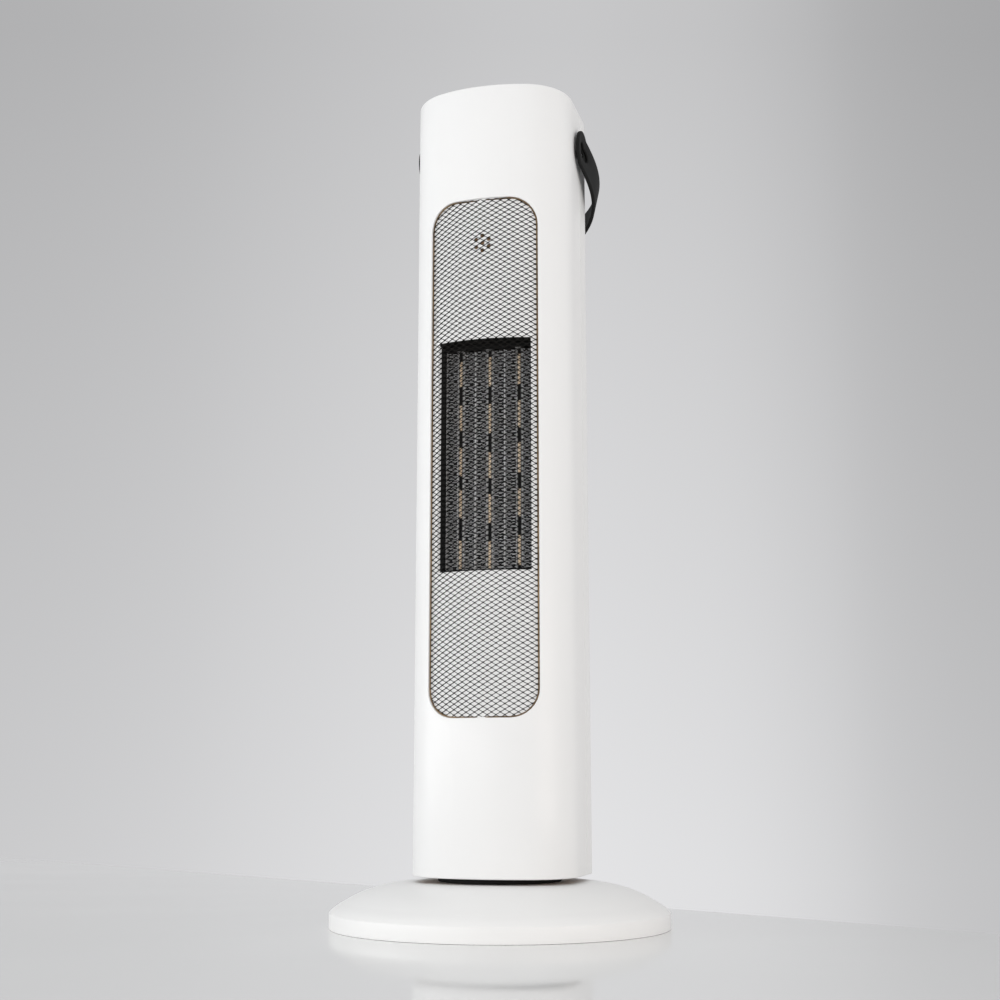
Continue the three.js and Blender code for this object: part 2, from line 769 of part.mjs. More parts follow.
function tongueWall() {
  const wallX = housingHalfWidth - housingWall;
  return new THREE.Shape([
    new THREE.Vector2(wallX, ductFront),
    new THREE.Vector2(housingHalfWidth, ductFront),
    new THREE.Vector2(housingHalfWidth, housingRear),
    new THREE.Vector2(wallX, housingRear),
    new THREE.Vector2(wallX, wheelY - housingWall),
    new THREE.Vector2(wallX - tongueReach, wheelY - tongueHeight),
    new THREE.Vector2(wallX, wheelY - tongueHeight * 2),
  ]);
}

function fanHousing() {
  const walls = [housingBottom + housingPlate / 2, housingTop - housingPlate / 2];
  return join(
    housingPlateAt([housingBottom, housingBottom + housingPlate], wheelHubRadius + runningGap),
    housingPlateAt([housingTop - housingPlate, housingTop], bushRadius + restGap),
    prism(scrollWall(), walls),
    prism(tongueWall(), walls),
  );
}

function fanWheel() {
  const discs = [[wheelBottom, wheelBottom + wheelDisc], [wheelTop - wheelDisc, wheelTop]];
  const plates = discs.map((z) => postZAxis(0, wheelY, wheelRadius, z, bladeCount * 2));
  const hub = postZAxis(0, wheelY, wheelHubRadius, [wheelBottom, wheelBottom + wheelHubHeight]);
  const pin = postZAxis(0, wheelY, wheelPinRadius, [wheelTop - wheelDisc / 2, wheelTopPin]);
  const bladeSpan = [wheelBottom + wheelDisc / 2, wheelTop - wheelDisc / 2];
  const blades = [];
  for (let i = 0; i < bladeCount; i += 1) {
    const blade = block(
      [-bladeThickness / 2, bladeThickness / 2],
      [-bladeWidth, 0],
      bladeSpan,
    );
    blade.rotateZ(bladeTilt).translate(0, wheelRadius - bladeThickness, 0);
    blades.push(blade.rotateZ((i * fullTurn) / bladeCount).translate(0, wheelY, 0));
  }
  const shaftHole = postZAxis(0, wheelY, motorShaftRadius + restGap, [
    wheelBottom - overrun,
    wheelBottom + wheelHubHeight - wheelDisc,
  ]);
  return cut(join(plates[0], plates[1], hub, pin, ...blades), shaftHole);
}

function fanBush() {
  const bodySpan = [housingTop - housingPlate, housingTop + restGap + bushFlange];
  const flangeSpan = [housingTop + restGap, housingTop + restGap + bushFlange];
  return cut(
    join(
      postZAxis(0, wheelY, bushRadius, bodySpan),
      postZAxis(0, wheelY, bushFlangeRadius, flangeSpan),
    ),
    postZAxis(0, wheelY, wheelPinRadius + restGap, [wheelBottom, wheelTopPin + overrun]),
  );
}

const bracketTop = housingBottom - restGap;
const motorTop = bracketTop - bracketPlate - restGap;

function motorBracket() {
  const plate = block(
    [-bracketHalfWidth, bracketHalfWidth],
    [wheelY - motorRadius, wheelY + motorRadius],
    [bracketTop - bracketPlate, bracketTop],
  );
  return cut(plate, postZAxis(0, wheelY, wheelHubRadius, [0, towerTop]));
}

function fanMotor() {
  const shaftTop = wheelBottom + wheelHubHeight - wheelDisc - restGap;
  return join(
    postZAxis(0, wheelY, motorRadius, [motorTop - motorHeight, motorTop]),
    postZAxis(0, wheelY, motorShaftRadius, [motorTop - bracketPlate, shaftTop]),
  );
}

// Rear intake
function rearGrille() {
  const half = intakeHalfWidth - restGap;
  const span = [intakeBottom + restGap, intakeTop - restGap];
  const rearOnly = (halfWidth, z) => block([-halfWidth, halfWidth], [seamDepth, reach], z);
  const plate = common(skin(grilleInset, grilleInset + grilleWall, span), rearOnly(half, span));
  const tabInset = shellWall + restGap;
  const tabs = [[span[0], -1], [span[1], 1]].flatMap(([edge, way]) => {
    const root = [edge, edge - way * tabReach].sort((a, b) => a - b);
    const tab = [edge + way * tabReach, edge - way * tabReach].sort((a, b) => a - b);
    return [
      common(skin(grilleInset, tabInset + grilleWall, root), rearOnly(tabHalfWidth, root)),
      common(skin(tabInset, tabInset + grilleWall, tab), rearOnly(tabHalfWidth, tab)),
    ];
  });
  const rowHeight = (span[1] - span[0] - slotMargin) / slotRows;
  const columnPitch = (2 * (half - slotMargin)) / (slotColumns - 1);
  const slots = [];
  for (let row = 0; row < slotRows; row += 1) {
    for (let column = 0; column < slotColumns; column += 1) {
      const x = (column - (slotColumns - 1) / 2) * columnPitch;
      const low = span[0] + slotMargin + row * rowHeight;
      const high = low + rowHeight - slotMargin;
      slots.push(block([x - slotWidth / 2, x + slotWidth / 2], [seamDepth, reach], [low, high]));
    }
  }
  return join(cut(plate, ...slots), ...tabs);
}

function dustFilter() {
  const inset = shellWall + restGap;
  const half = intakeHalfWidth - filterMargin;
  const span = [intakeBottom + filterMargin, intakeTop - filterMargin];
  const region = block([-half, half], [seamDepth, reach], span);
  return common(skin(inset, inset + filterThickness, span), region);
}

// Top cap and controls
const boardTop = capBottom - boardPostLength - restGap;
const boardPosts = [-1, 1].flatMap((side) => [
  [side * (boardHalfWidth - boardPostInset), boardFrontY + boardPostInset],
  [side * (boardHalfWidth - boardPostInset), boardRearY - boardPostInset],
]);

function buttonX(index) {
  return (index - (buttonNames.length - 1) / 2) * buttonSpacing;
}

function topCap() {
  const inset = shellWall + restGap;
  const plate = stack([[capBottom, inset], [capTop, inset]]);
  const posts = boardPosts.map(([x, y]) =>
    postZAxis(x, y, boardPostRadius, [capBottom - boardPostLength, capTop - capThickness / 2], smallSteps),
  );
  const holes = buttonNames.map((name, i) =>
    postZAxis(buttonX(i), buttonY, buttonRadius + runningGap, [capBottom - overrun, capTop + overrun]),
  );
  const lensSeat = block(
    [-lensHalfWidth - restGap, lensHalfWidth + restGap],
    [lensY - lensHalfDepth - restGap, lensY + lensHalfDepth + restGap],
    [capTop - lensThickness - restGap, towerTop + overrun],
  );
  return cut(join(plate, ...posts), ...holes, lensSeat);
}

function displayLens() {
  return block(
    [-lensHalfWidth, lensHalfWidth],
    [lensY - lensHalfDepth, lensY + lensHalfDepth],
    [capTop - lensThickness, capTop],
  );
}

function button(index) {
  const flangeTop = capBottom - restGap;
  const flangeBottom = flangeTop - buttonFlangeHeight;
  const stemBottom = boardTop + tactSwitchHeight + buttonTravel + restGap;
  return join(
    postZAxis(buttonX(index), buttonY, buttonRadius, [flangeBottom, capTop + buttonProud]),
    postZAxis(buttonX(index), buttonY, buttonRadius + buttonFlange, [flangeBottom, flangeTop]),
    postZAxis(buttonX(index), buttonY, buttonStemRadius, [stemBottom, flangeTop], smallSteps),
  );
}

function controlBoard() {
  const plate = block([-boardHalfWidth, boardHalfWidth], [boardFrontY, boardRearY], [
    boardTop - boardThickness,
    boardTop,
  ]);
  const keys = buttonNames.map((name, i) =>
    postZAxis(
      buttonX(i),
      buttonY,
      tactSwitchRadius,
      [boardTop - boardThickness / 2, boardTop + tactSwitchHeight],
      smallSteps,
    ),
  );
  return join(plate, ...keys);
}

// Strap handle, drawn in its own plane (across, away from the pivots), then laid at its rest angle
function strapPath(shift) {
  const startX = towerHalfWidth + strapSideGap + strapThickness / 2 + shift;
  const armLength = strapLength - strapCornerRadius;
  const arm = [];
  for (let i = 0; i <= strapArmSteps; i += 1) {
    const share = i / strapArmSteps;
    const x = startX + strapBow * Math.sin(quarterTurn * share);
    arm.push(new THREE.Vector2(x, armLength * share));
  }
  const tail = new THREE.Vector2(startX, -strapWidth);
  const cornerX = startX + strapBow - strapCornerRadius;
  const corner = arcPoints(cornerX, armLength, strapCornerRadius, 0, quarterTurn, strapCornerSteps).slice(1);
  const right = [tail, ...arm, ...corner];
  const left = right.map((point) => new THREE.Vector2(-point.x, point.y)).reverse();
  return [...right, ...left];
}

function ribbon(path, thickness) {
  const offset = (way) =>
    path.map((point, i) => {
      const before = path[Math.max(i - 1, 0)];
      const after = path[Math.min(i + 1, path.length - 1)];
      const along = after.clone().sub(before).normalize();
      return new THREE.Vector2(point.x + way * along.y, point.y - way * along.x);
    });
  return new THREE.Shape([...offset(thickness / 2), ...offset(-thickness / 2).reverse()]);
}

function pocketOutline(grow) {
  const radius = strapPocketWidth / 2 + grow;
  const run = (strapPocketLength - strapPocketWidth) / 2;
  return new THREE.Shape([
    ...arcPoints(run, 0, radius, -quarterTurn, quarterTurn, cornerSteps),
    ...arcPoints(-run, 0, radius, quarterTurn, halfTurn + quarterTurn, cornerSteps),
  ]);
}

function handle() {
  const half = strapWidth / 2;
  const side = new THREE.Shape([
    ...arcPoints(0, 0, half, quarterTurn, halfTurn + quarterTurn, smallSteps),
    new THREE.Vector2(strapLength + strapWidth, -half),
    new THREE.Vector2(strapLength + strapWidth, half),
  ]);
  // A layer that follows the strap, between two distances out from the strap's middle
  const layer = (outline, near, far) => {
    const band = prism(ribbon(strapPath((near + far) / 2), far - near), [-half, half]);
    return common(band, prismAlongX(outline, [-reach, reach]));
  };
  const outside = strapThickness / 2;
  const back = -outside - strapPocketBack;
  const strap = layer(side, -outside, outside);
  const cups = layer(pocketOutline(strapPocketWall), back, 0);
  const pockets = layer(pocketOutline(0), back + strapPocketFloor, outside + overrun);
  const pinHole = postXAxis(0, 0, pivotRadius + runningGap, [-reach, reach]);
  return cut(join(strap, cups), pockets, pinHole).rotateX(strapRest).translate(0, pivotY, pivotZ);
}

function handlePivot(side) {
  const inside = towerHalfWidth - shellWall - restGap;
  const span = (from, to) => [side * from, side * to].sort((a, b) => a - b);
  return join(
    postXAxis(pivotY, pivotZ, pivotRadius, span(inside - pivotFlange, sidePin - restGap)),
    postXAxis(pivotY, pivotZ, pivotFlangeRadius, span(inside - pivotFlange, inside)),
  );
}

// Rear power switch
const rockerY = switchRear - switchWall - rockerRadius + rockerProud;

function switchHousing() {
  const halfWidth = switchHalfWidth - restGap;
  const halfHeight = switchHalfHeight - restGap;
  return cut(
    block(
      [-halfWidth, halfWidth],
      [switchRear - switchDepth, switchRear - switchWall],
      [switchZ - halfHeight, switchZ + halfHeight],
    ),
    block(
      [-halfWidth + switchWall, halfWidth - switchWall],
      [rockerY - rockerRadius - runningGap, reach],
      [switchZ - rockerRadius - runningGap, switchZ + rockerRadius + runningGap],
    ),
  );
}

function powerRocker() {
  const half = switchHalfWidth - restGap - switchWall - runningGap;
  const edge = rockerFace + rockerHalfHeight * Math.tan(rockerTip);
  const outline = new THREE.Shape([
    new THREE.Vector2(edge, -rockerHalfHeight),
    new THREE.Vector2(rockerFace, 0),
    new THREE.Vector2(edge, rockerHalfHeight),
    ...arcPoints(0, 0, rockerHalfHeight, quarterTurn, halfTurn + quarterTurn, smallSteps),
  ]);
  return prismAlongX(outline, [-half, half]).rotateX(rockerTip).translate(0, rockerY, switchZ);
}

// Power board
const floorTop = floorBottom + floorThickness;

function powerBoard() {
  const low = floorTop + restGap;
  const face = powerBoardY - boardThickness / 2;
  const relay = block(
    [-powerBoardHalfWidth + relayWidth / 2, -powerBoardHalfWidth + relayWidth * (3 / 2)],
    [face - relayDepth, powerBoardY],
    [low + relayHeight, low + 2 * relayHeight],
  );
  const coil = postYAxis(relayWidth, low + relayHeight, coilRadius, [face - coilHeight, powerBoardY]);
  const can = [face - relayDepth, powerBoardY];
  const capacitor = postYAxis(relayWidth, low + 3 * relayHeight, coilRadius, can);
  const plate = block(
    [-powerBoardHalfWidth, powerBoardHalfWidth],
    [face, powerBoardY + boardThickness / 2],
    [low, low + powerBoardHeight],
  );
  return join(plate, relay, coil, capacitor);
}

// Tower floor with the hollow spigot that it turns on
function towerFloor() {
  const inset = shellWall + restGap;
  const plate = stack([[floorBottom, inset], [floorTop, inset]]);
  const spigot = postZAxis(0, 0, spigotRadius, [spigotBottom, floorTop - floorThickness / 2], bearingSteps);
  const bore = postZAxis(0, 0, spigotRadius - spigotWall, [0, floorTop + overrun], bearingSteps);
  return cut(join(plate, spigot), bore);
}

function swingRetainer() {
  const top = domeTop - coverWall - restGap;
  const inner = spigotRadius + restGap;
  return tubeZAxis(0, 0, inner + retainerWidth, inner, [top - retainerThickness, top], bearingSteps);
}

function slideWasher() {
  const top = floorBottom - restGap;
  const inner = spigotRadius + runningGap;
  return tubeZAxis(0, 0, inner + washerWidth, inner, [top - washerThickness, top], bearingSteps);
}

// Gear teeth with involute flanks
function toothPoints(teeth, middleAngle) {
  const pitchRadius = (gearModule * teeth) / 2;
  const baseCircle = pitchRadius * Math.cos(pressureAngle);
  const tip = pitchRadius + addendumShare * gearModule;
  const root = pitchRadius - dedendumShare * gearModule;
  const involute = (radius) => {
    const angle = Math.acos(Math.min(1, baseCircle / radius));
    return Math.tan(angle) - angle;
  };
  const pitchHalf = fullTurn / teeth / 4 - toothBacklash / 2 / pitchRadius;
  const halfAngle = (radius) => pitchHalf + involute(pitchRadius) - involute(Math.max(radius, baseCircle));
  const rising = [];
  for (let i = 0; i <= flankSteps; i += 1) {
    const radius = root + ((tip - root) * i) / flankSteps;
    rising.push([radius, halfAngle(radius)]);
  }
  const at = ([radius, half], side) => {
    const angle = middleAngle + side * half;
    return new THREE.Vector2(radius * Math.cos(angle), radius * Math.sin(angle));
  };
  return [...rising.map((spot) => at(spot, -1)), ...rising.reverse().map((spot) => at(spot, 1))];
}

const pinionY = (gearModule * (gearTeeth + pinionTeeth)) / 2 + pinionSpacingGap;
const gearSpan = [gearBottom, gearBottom + gearHeight];

function swingGear() {
  const toothPitch = fullTurn / gearTeeth;
  const reachTeeth = Math.floor(sectorHalfAngle / toothPitch);
  const points = [];
  for (let i = -reachTeeth; i <= reachTeeth; i += 1) {
    points.push(...toothPoints(gearTeeth, quarterTurn + i * toothPitch));
  }
  const edge = (reachTeeth + 1 / 2) * toothPitch;
  const rim = [quarterTurn + edge, quarterTurn + fullTurn - edge];
  points.push(...arcPoints(0, 0, sectorRimRadius, rim[0], rim[1], roundSteps));
  const shape = new THREE.Shape(points);
  const bore = arcPoints(0, 0, spigotRadius + restGap, 0, fullTurn, bearingSteps).slice(0, -1);
  shape.holes.push(new THREE.Path(bore));
  return prism(shape, gearSpan);
}

function swingPinion() {
  const toothPitch = fullTurn / pinionTeeth;
  const points = [];
  for (let i = 0; i < pinionTeeth; i += 1) {
    points.push(...toothPoints(pinionTeeth, -quarterTurn + (i + 1 / 2) * toothPitch));
  }
  const shape = new THREE.Shape(points);
  const bore = arcPoints(0, 0, swingShaftRadius + restGap, 0, fullTurn, smallSteps).slice(0, -1);
  shape.holes.push(new THREE.Path(bore));
  return prism(shape, gearSpan).translate(0, pinionY, 0);
}

const plateTop = plateBottom + plateThickness;

function swingMotor() {
  const low = plateTop + restGap;
  const high = gearBottom - runningGap;
  const ears = block(
    [-motorEarReach, motorEarReach],
    [pinionY - motorEarHalfWidth, pinionY + motorEarHalfWidth],
    [high - motorEarHeight * 2, high - motorEarHeight],
  );
  return join(
    postZAxis(0, pinionY, swingMotorRadius, [low, high]),
    postZAxis(0, pinionY, swingShaftRadius, [low + motorEarHeight, gearSpan[1]], smallSteps),
    ears,
  );
}

// Base cover: rim, shoulder and dome, with a raised seat for the swing washer
function curvePoints(from, pull, to, steps) {
  return new THREE.QuadraticBezierCurve(from, pull, to).getPoints(steps);
}

function coverProfile() {
  const washerSeat = floorBottom - restGap - washerThickness - restGap;
  const seatInner = spigotRadius + runningGap;
  const seatOuter = seatInner + washerWidth;
  const at = (r, z) => new THREE.Vector2(r, z);
  const outside = [
    at(baseRadius - rimEdgeChamfer, rimBottom),
    at(baseRadius, rimBottom + rimEdgeChamfer),
    ...curvePoints(
      at(baseRadius, rimTop),
      at(shoulderPullRadius, shoulderPull),
      at(shoulderTopRadius, shoulderTop),
      shoulderSteps,
    ),
    ...curvePoints(
      at(shoulderTopRadius, shoulderTop),
      at(domePullRadius, domePull),
      at(domeTopRadius, domeTop),
      domeSteps,
    ).slice(1),
    at(seatOuter, domeTop),
    at(seatOuter, washerSeat),
    at(seatInner, washerSeat),
  ];
  const inside = [
    at(seatInner, domeTop - coverWall),
    ...curvePoints(
      at(domeTopRadius, domeTop - coverWall),
      at(domePullRadius - coverWall / 2, domePull - coverWall),
      at(shoulderTopRadius - coverWall, shoulderTop - coverWall),
      innerDomeSteps,
    ),
    at(baseRadius - coverWall, rimTop - coverWall),
    at(baseRadius - coverWall, rimBottom),
  ];
  return [...outside, ...inside];
}

function spread(count, radius, firstAngle) {
  const spots = [];
  for (let i = 0; i < count; i += 1) {
    const angle = firstAngle + (i * fullTurn) / count;
    spots.push([radius * Math.cos(angle), radius * Math.sin(angle)]);
  }
  return spots;
}

const baseScrewSpots = spread(baseScrewCount, baseScrewCircle, -quarterTurn);
const footSpots = spread(footCount, footCircleRadius, halfTurn / 4);

function baseCover() {
  const profile = coverProfile();
  const closed = [...profile, profile[0]];
  const shell = lathe(closed);
  const bosses = baseScrewSpots.map(([x, y]) =>
    postZAxis(x, y, baseBossRadius, [plateTop + restGap, domeTop - coverWall], smallSteps),
  );
  const pilots = baseScrewSpots.map(([x, y]) =>
    postZAxis(x, y, screwRadius + restGap, [0, plateTop + baseScrewDepth + restGap], smallSteps),
  );
  const bushHole = postYAxis(0, bushZ, bushHoleRadius, [baseRadius - rimTop, reach * 2]);
  return cut(join(shell, ...bosses), ...pilots, bushHole);
}

function neckRing() {
  const span = [domeTop + restGap, floorBottom - restGap];
  return tubeZAxis(0, 0, neckRadius, neckRadius - neckWall, span, baseSteps);
}

function basePlate() {
  const disc = postZAxis(0, 0, baseRadius - coverWall - restGap, [plateBottom, plateTop], baseSteps);
  const through = [plateBottom - overrun, plateTop + overrun];
  const screwHoles = baseScrewSpots.map(([x, y]) =>
    postZAxis(x, y, screwRadius + restGap, through, smallSteps),
  );
  const footHoles = footSpots.map(([x, y]) => postZAxis(x, y, footPlugRadius + restGap, through, smallSteps));
  const plungerHole = postZAxis(tipX, 0, plungerRadius + runningGap, through);
  return cut(disc, ...screwHoles, ...footHoles, plungerHole);
}

function ballastRing() {
  const low = plateTop + restGap;
  return tubeZAxis(0, 0, ballastOuterRadius, ballastInnerRadius, [low, low + ballastThickness], baseSteps);
}

function foot([x, y]) {
  const padTop = plateBottom - restGap;
  return join(
    postZAxis(x, y, footRadius, [0, padTop]),
    postZAxis(x, y, footPlugRadius, [padTop / 2, padTop + footPlugHeight], smallSteps),
  );
}

function baseScrew([x, y]) {
  const headTop = plateBottom - restGap;
  return join(
    postZAxis(x, y, screwHeadRadius, [headTop - baseScrewHead, headTop], smallSteps),
    postZAxis(x, y, screwRadius, [headTop - baseScrewHead / 2, plateTop + baseScrewDepth], smallSteps),
  );
}

function cordBush() {
  const wallInside = Math.sqrt((baseRadius - coverWall) ** 2 - bushInnerFlangeRadius ** 2) - restGap * 2;
  const flangeSpan = [wallInside - bushInnerFlange, wallInside];
  const body = postYAxis(0, bushZ, bushHoleRadius - restGap, [flangeSpan[0], baseRadius - restGap]);
  const flange = postYAxis(0, bushZ, bushInnerFlangeRadius, flangeSpan);
  const insideDepth = [0, baseRadius - coverWall];
  const belowPlate = block([-reach, reach], insideDepth, [-reach, plateTop + restGap]);
  const aboveRim = block([-reach, reach], insideDepth, [rimTop - coverWall - restGap, reach]);
  const bore = postYAxis(0, bushZ, bushBoreRadius, [0, reach * 2]);
  return cut(join(body, flange), belowPlate, aboveRim, bore);
}

// Tip-over switch with a plunger that stands on the floor
function tipSwitch() {
  const low = plateTop + restGap;
  const inner = plungerFlangeRadius + runningGap;
  return cut(
    block([tipX - tipHalfWidth, tipX + tipHalfWidth], [-tipHalfWidth, tipHalfWidth], [low, low + tipHeight]),
    postZAxis(tipX, 0, inner, [0, low + tipHeight - tipRoof]),
  );
}

function tipPlunger() {
  const flangeBottom = plateTop + restGap + plungerTravel;
  return join(
    postZAxis(tipX, 0, plungerRadius, [plungerFloorGap, plungerFloorGap + plungerLength]),
    postZAxis(tipX, 0, plungerFlangeRadius, [flangeBottom, flangeBottom + plungerFlange]),
  );
}

// Assembly
const heater = new THREE.Group();

function add(parent, name, geometry, look) {
  const mesh = new THREE.Mesh(geometry, look);
  mesh.name = name;
  parent.add(mesh);
  return mesh;
}

const base = new THREE.Group();
heater.add(base);
add(base, "base_cover", baseCover(), material.white);
add(base, "base_plate", basePlate(), material.black);
add(base, "ballast_ring", ballastRing(), material.steel);
footSpots.forEach((spot, i) => add(base, `foot_${i + 1}`, foot(spot), material.rubber));
baseScrewSpots.forEach((spot, i) => add(base, `base_screw_${i + 1}`, baseScrew(spot), material.steel));
add(base, "cord_bush", cordBush(), material.rubber);
add(base, "neck_ring", neckRing(), material.black);
add(base, "slide_washer", slideWasher(), material.gear);
add(base, "tip_switch", tipSwitch(), material.black);
add(base, "tip_plunger", tipPlunger(), material.gear);
add(base, "swing_motor", swingMotor(), material.steel);
add(base, "swing_pinion", swingPinion(), material.gear);

const tower = new THREE.Group();
heater.add(tower);
add(tower, "tower_floor", towerFloor(), material.black);
add(tower, "swing_gear", swingGear(), material.gear);
add(tower, "swing_retainer", swingRetainer(), material.steel);
add(tower, "front_shell", frontShell(), material.white);
add(tower, "rear_shell", rearShell(), material.white);
add(tower, "shell_screw_left", shellScrew(-postX), material.steel);
add(tower, "shell_screw_right", shellScrew(postX), material.steel);
add(tower, "mesh_grille", meshGrille(), material.mesh);
add(tower, "inner_panel", innerPanel(), material.innerWhite);
add(tower, "ir_receiver", irReceiver(), material.smoke);
add(tower, "window_bezel", windowBezel(), material.black);
for (let i = 0; i < rowCount; i += 1) {
  add(tower, `ceramic_row_${i + 1}`, ceramicRow(i), material.ceramic);
}
for (let i = 0; i < rowCount * 2; i += 1) {
  add(tower, `fin_column_${i + 1}`, finColumn(i), material.aluminium);
}
const frameTop = [elementSpan[1], elementSpan[1] + endFrameHeight - restGap];
const frameBottom = [elementSpan[0] - endFrameHeight + restGap, elementSpan[0]];
add(tower, "heater_frame_top", endFrame(frameTop), material.black);
add(tower, "heater_frame_bottom", endFrame(frameBottom), material.black);
add(tower, "thermal_cutout", thermalCutout(), material.ceramic);
add(tower, "fan_housing", fanHousing(), material.innerWhite);
add(tower, "fan_wheel", fanWheel(), material.black);
add(tower, "fan_bush", fanBush(), material.charcoal);
add(tower, "motor_bracket", motorBracket(), material.steel);
add(tower, "fan_motor", fanMotor(), material.steel);
add(tower, "rear_grille", rearGrille(), material.white);
add(tower, "dust_filter", dustFilter(), material.filter);
add(tower, "power_board", powerBoard(), material.board);
add(tower, "switch_housing", switchHousing(), material.black);
add(tower, "power_rocker", powerRocker(), material.black);

const controls = new THREE.Group();
tower.add(controls);
add(controls, "top_cap", topCap(), material.white);
add(controls, "display_lens", displayLens(), material.smoke);
add(controls, "control_board", controlBoard(), material.board);
buttonNames.forEach((name, i) => add(controls, `button_${name}`, button(i), material.charcoal));

add(tower, "handle", handle(), material.charcoal);
add(tower, "handle_pivot_left", handlePivot(-1), material.black);
add(tower, "handle_pivot_right", handlePivot(1), material.black);

export default heater;
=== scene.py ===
import json
import math

import bmesh
import bpy
from mathutils import Matrix, Vector


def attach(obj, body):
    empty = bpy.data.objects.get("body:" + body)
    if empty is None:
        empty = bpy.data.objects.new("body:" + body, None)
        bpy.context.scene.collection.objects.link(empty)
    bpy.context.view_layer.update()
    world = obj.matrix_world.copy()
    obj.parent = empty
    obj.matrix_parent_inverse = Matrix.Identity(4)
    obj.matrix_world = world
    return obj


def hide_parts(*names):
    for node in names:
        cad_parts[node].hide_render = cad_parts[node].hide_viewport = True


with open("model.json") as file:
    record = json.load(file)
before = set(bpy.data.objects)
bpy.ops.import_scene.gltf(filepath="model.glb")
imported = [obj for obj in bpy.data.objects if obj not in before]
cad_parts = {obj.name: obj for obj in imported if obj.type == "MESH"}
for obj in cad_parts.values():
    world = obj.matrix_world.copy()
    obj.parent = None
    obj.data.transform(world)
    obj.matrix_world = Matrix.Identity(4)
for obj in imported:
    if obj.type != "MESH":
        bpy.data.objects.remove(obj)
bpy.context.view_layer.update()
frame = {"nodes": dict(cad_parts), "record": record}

# Lengths of the pieces are millimetres, and each finished piece is scaled to metres once.
METRE = 0.001
QUARTER = math.pi / 2

# Tower outline, the same as the solids': two wide arcs joined by rounded corners and flat sides
HALF_WIDTH = 68.4
FRONT_DEPTH, REAR_DEPTH = 59.0, 66.8
FRONT_ARC, REAR_ARC = 126.0, 130.0
FRONT_CORNER, REAR_CORNER = 43.4, 20.6
TOWER_BOTTOM, TOWER_TOP = 41.3, 702.0
SHELL_WALL = 2.6
SEAM_DEPTH, SEAM_WIDTH = 17.5, 0.6

front_centre_y = FRONT_ARC - FRONT_DEPTH
front_corner_x = HALF_WIDTH - FRONT_CORNER
front_corner_y = front_centre_y - math.sqrt((FRONT_ARC - FRONT_CORNER) ** 2 - front_corner_x ** 2)
front_join = math.atan2(front_corner_y - front_centre_y, front_corner_x)
rear_centre_y = REAR_DEPTH - REAR_ARC
rear_corner_x = HALF_WIDTH - REAR_CORNER
rear_corner_y = rear_centre_y + math.sqrt((REAR_ARC - REAR_CORNER) ** 2 - rear_corner_x ** 2)
rear_join = math.atan2(rear_corner_y - rear_centre_y, rear_corner_x)

# Runs round the outline from the front's middle to where each stretch ends
front_run = (front_join + QUARTER) * FRONT_ARC
corner_end = front_run - front_join * FRONT_CORNER
side_end = corner_end + rear_corner_y - front_corner_y
rear_corner_end = side_end + rear_join * REAR_CORNER
half_round = rear_corner_end + (QUARTER - rear_join) * REAR_ARC


def around(run, inset):
    """The point of the tower's outline after a run from the front's middle, set in from the surface."""
    run = run % (2 * half_round)
    side = 1
    if run > half_round:
        run, side = 2 * half_round - run, -1
    if run <= front_run:
        centre, radius, turn = (0, front_centre_y), FRONT_ARC, run / FRONT_ARC - QUARTER
    elif run <= corner_end:
        centre, radius = (front_corner_x, front_corner_y), FRONT_CORNER
        turn = front_join + (run - front_run) / FRONT_CORNER
    elif run <= side_end:
        return side * (HALF_WIDTH - inset), front_corner_y + run - corner_end
    elif run <= rear_corner_end:
        centre, radius = (rear_corner_x, rear_corner_y), REAR_CORNER
        turn = (run - side_end) / REAR_CORNER
    else:
        centre, radius = (0, rear_centre_y), REAR_ARC
        turn = rear_join + (run - rear_corner_end) / REAR_ARC
    reach = radius - inset
    return side * (centre[0] + reach * math.cos(turn)), centre[1] + reach * math.sin(turn)


def front_run_at(x):
    """How far round from the front's middle a point x to the side lies."""
    far = abs(x)
    if far <= FRONT_ARC * math.cos(front_join):
        return math.copysign(FRONT_ARC * math.asin(far / FRONT_ARC), x)
    turn = -math.acos((far - front_corner_x) / FRONT_CORNER)
    return math.copysign(front_run + (turn - front_join) * FRONT_CORNER, x)


def rear_run_at(x):
    return half_round - REAR_ARC * math.asin(x / REAR_ARC)


def side_run_at(y):
    return corner_end + y - front_corner_y


def front_depth_at(x, inset):
    return around(front_run_at(x), inset)[1]


# Making and finishing

CUT_SLACK = 1e-5
MERGE_DISTANCE = 0.002
CORNER_STEPS, CIRCLE_STEPS = 8, 24
# The share of its edge's radius by which a rounded back is set in
BACK_SHARE = 1 / 3
# Folds stay this clear of a sheet's two ends
FOLD_CLEAR = 0.05
# Widths between folds along the front arc, front corner, flat side, rear corner and rear arc
FOLD_STEPS = (2.2, 1.5, 60.0, 1.0, 2.6)


def everything(bm):
    return bm.verts[:] + bm.edges[:] + bm.faces[:]


def turn_outwards(bm):
    bmesh.ops.recalc_face_normals(bm, faces=bm.faces[:])


def join_doubles(bm):
    bmesh.ops.remove_doubles(bm, verts=bm.verts[:], dist=MERGE_DISTANCE)


def slice_at(bm, place, way, clear=False):
    """Cuts every face along a plane, and where asked takes away what lies beyond it."""
    bmesh.ops.bisect_plane(
        bm, geom=everything(bm), dist=CUT_SLACK, plane_co=place, plane_no=way, clear_outer=clear
    )


def bridge(bm, loops):
    for near, far in zip(loops, loops[1:]):
        bmesh.ops.bridge_loops(bm, edges=near + far)


def fill(bm, edges):
    bmesh.ops.triangle_fill(bm, use_beauty=True, edges=edges)


def edges_of(verts):
    return list({edge for vert in verts for edge in vert.link_edges})


def verts_of(edges):
    return list({vert for edge in edges for vert in edge.verts})


def only_verts(items):
    return [item for item in items if isinstance(item, bmesh.types.BMVert)]


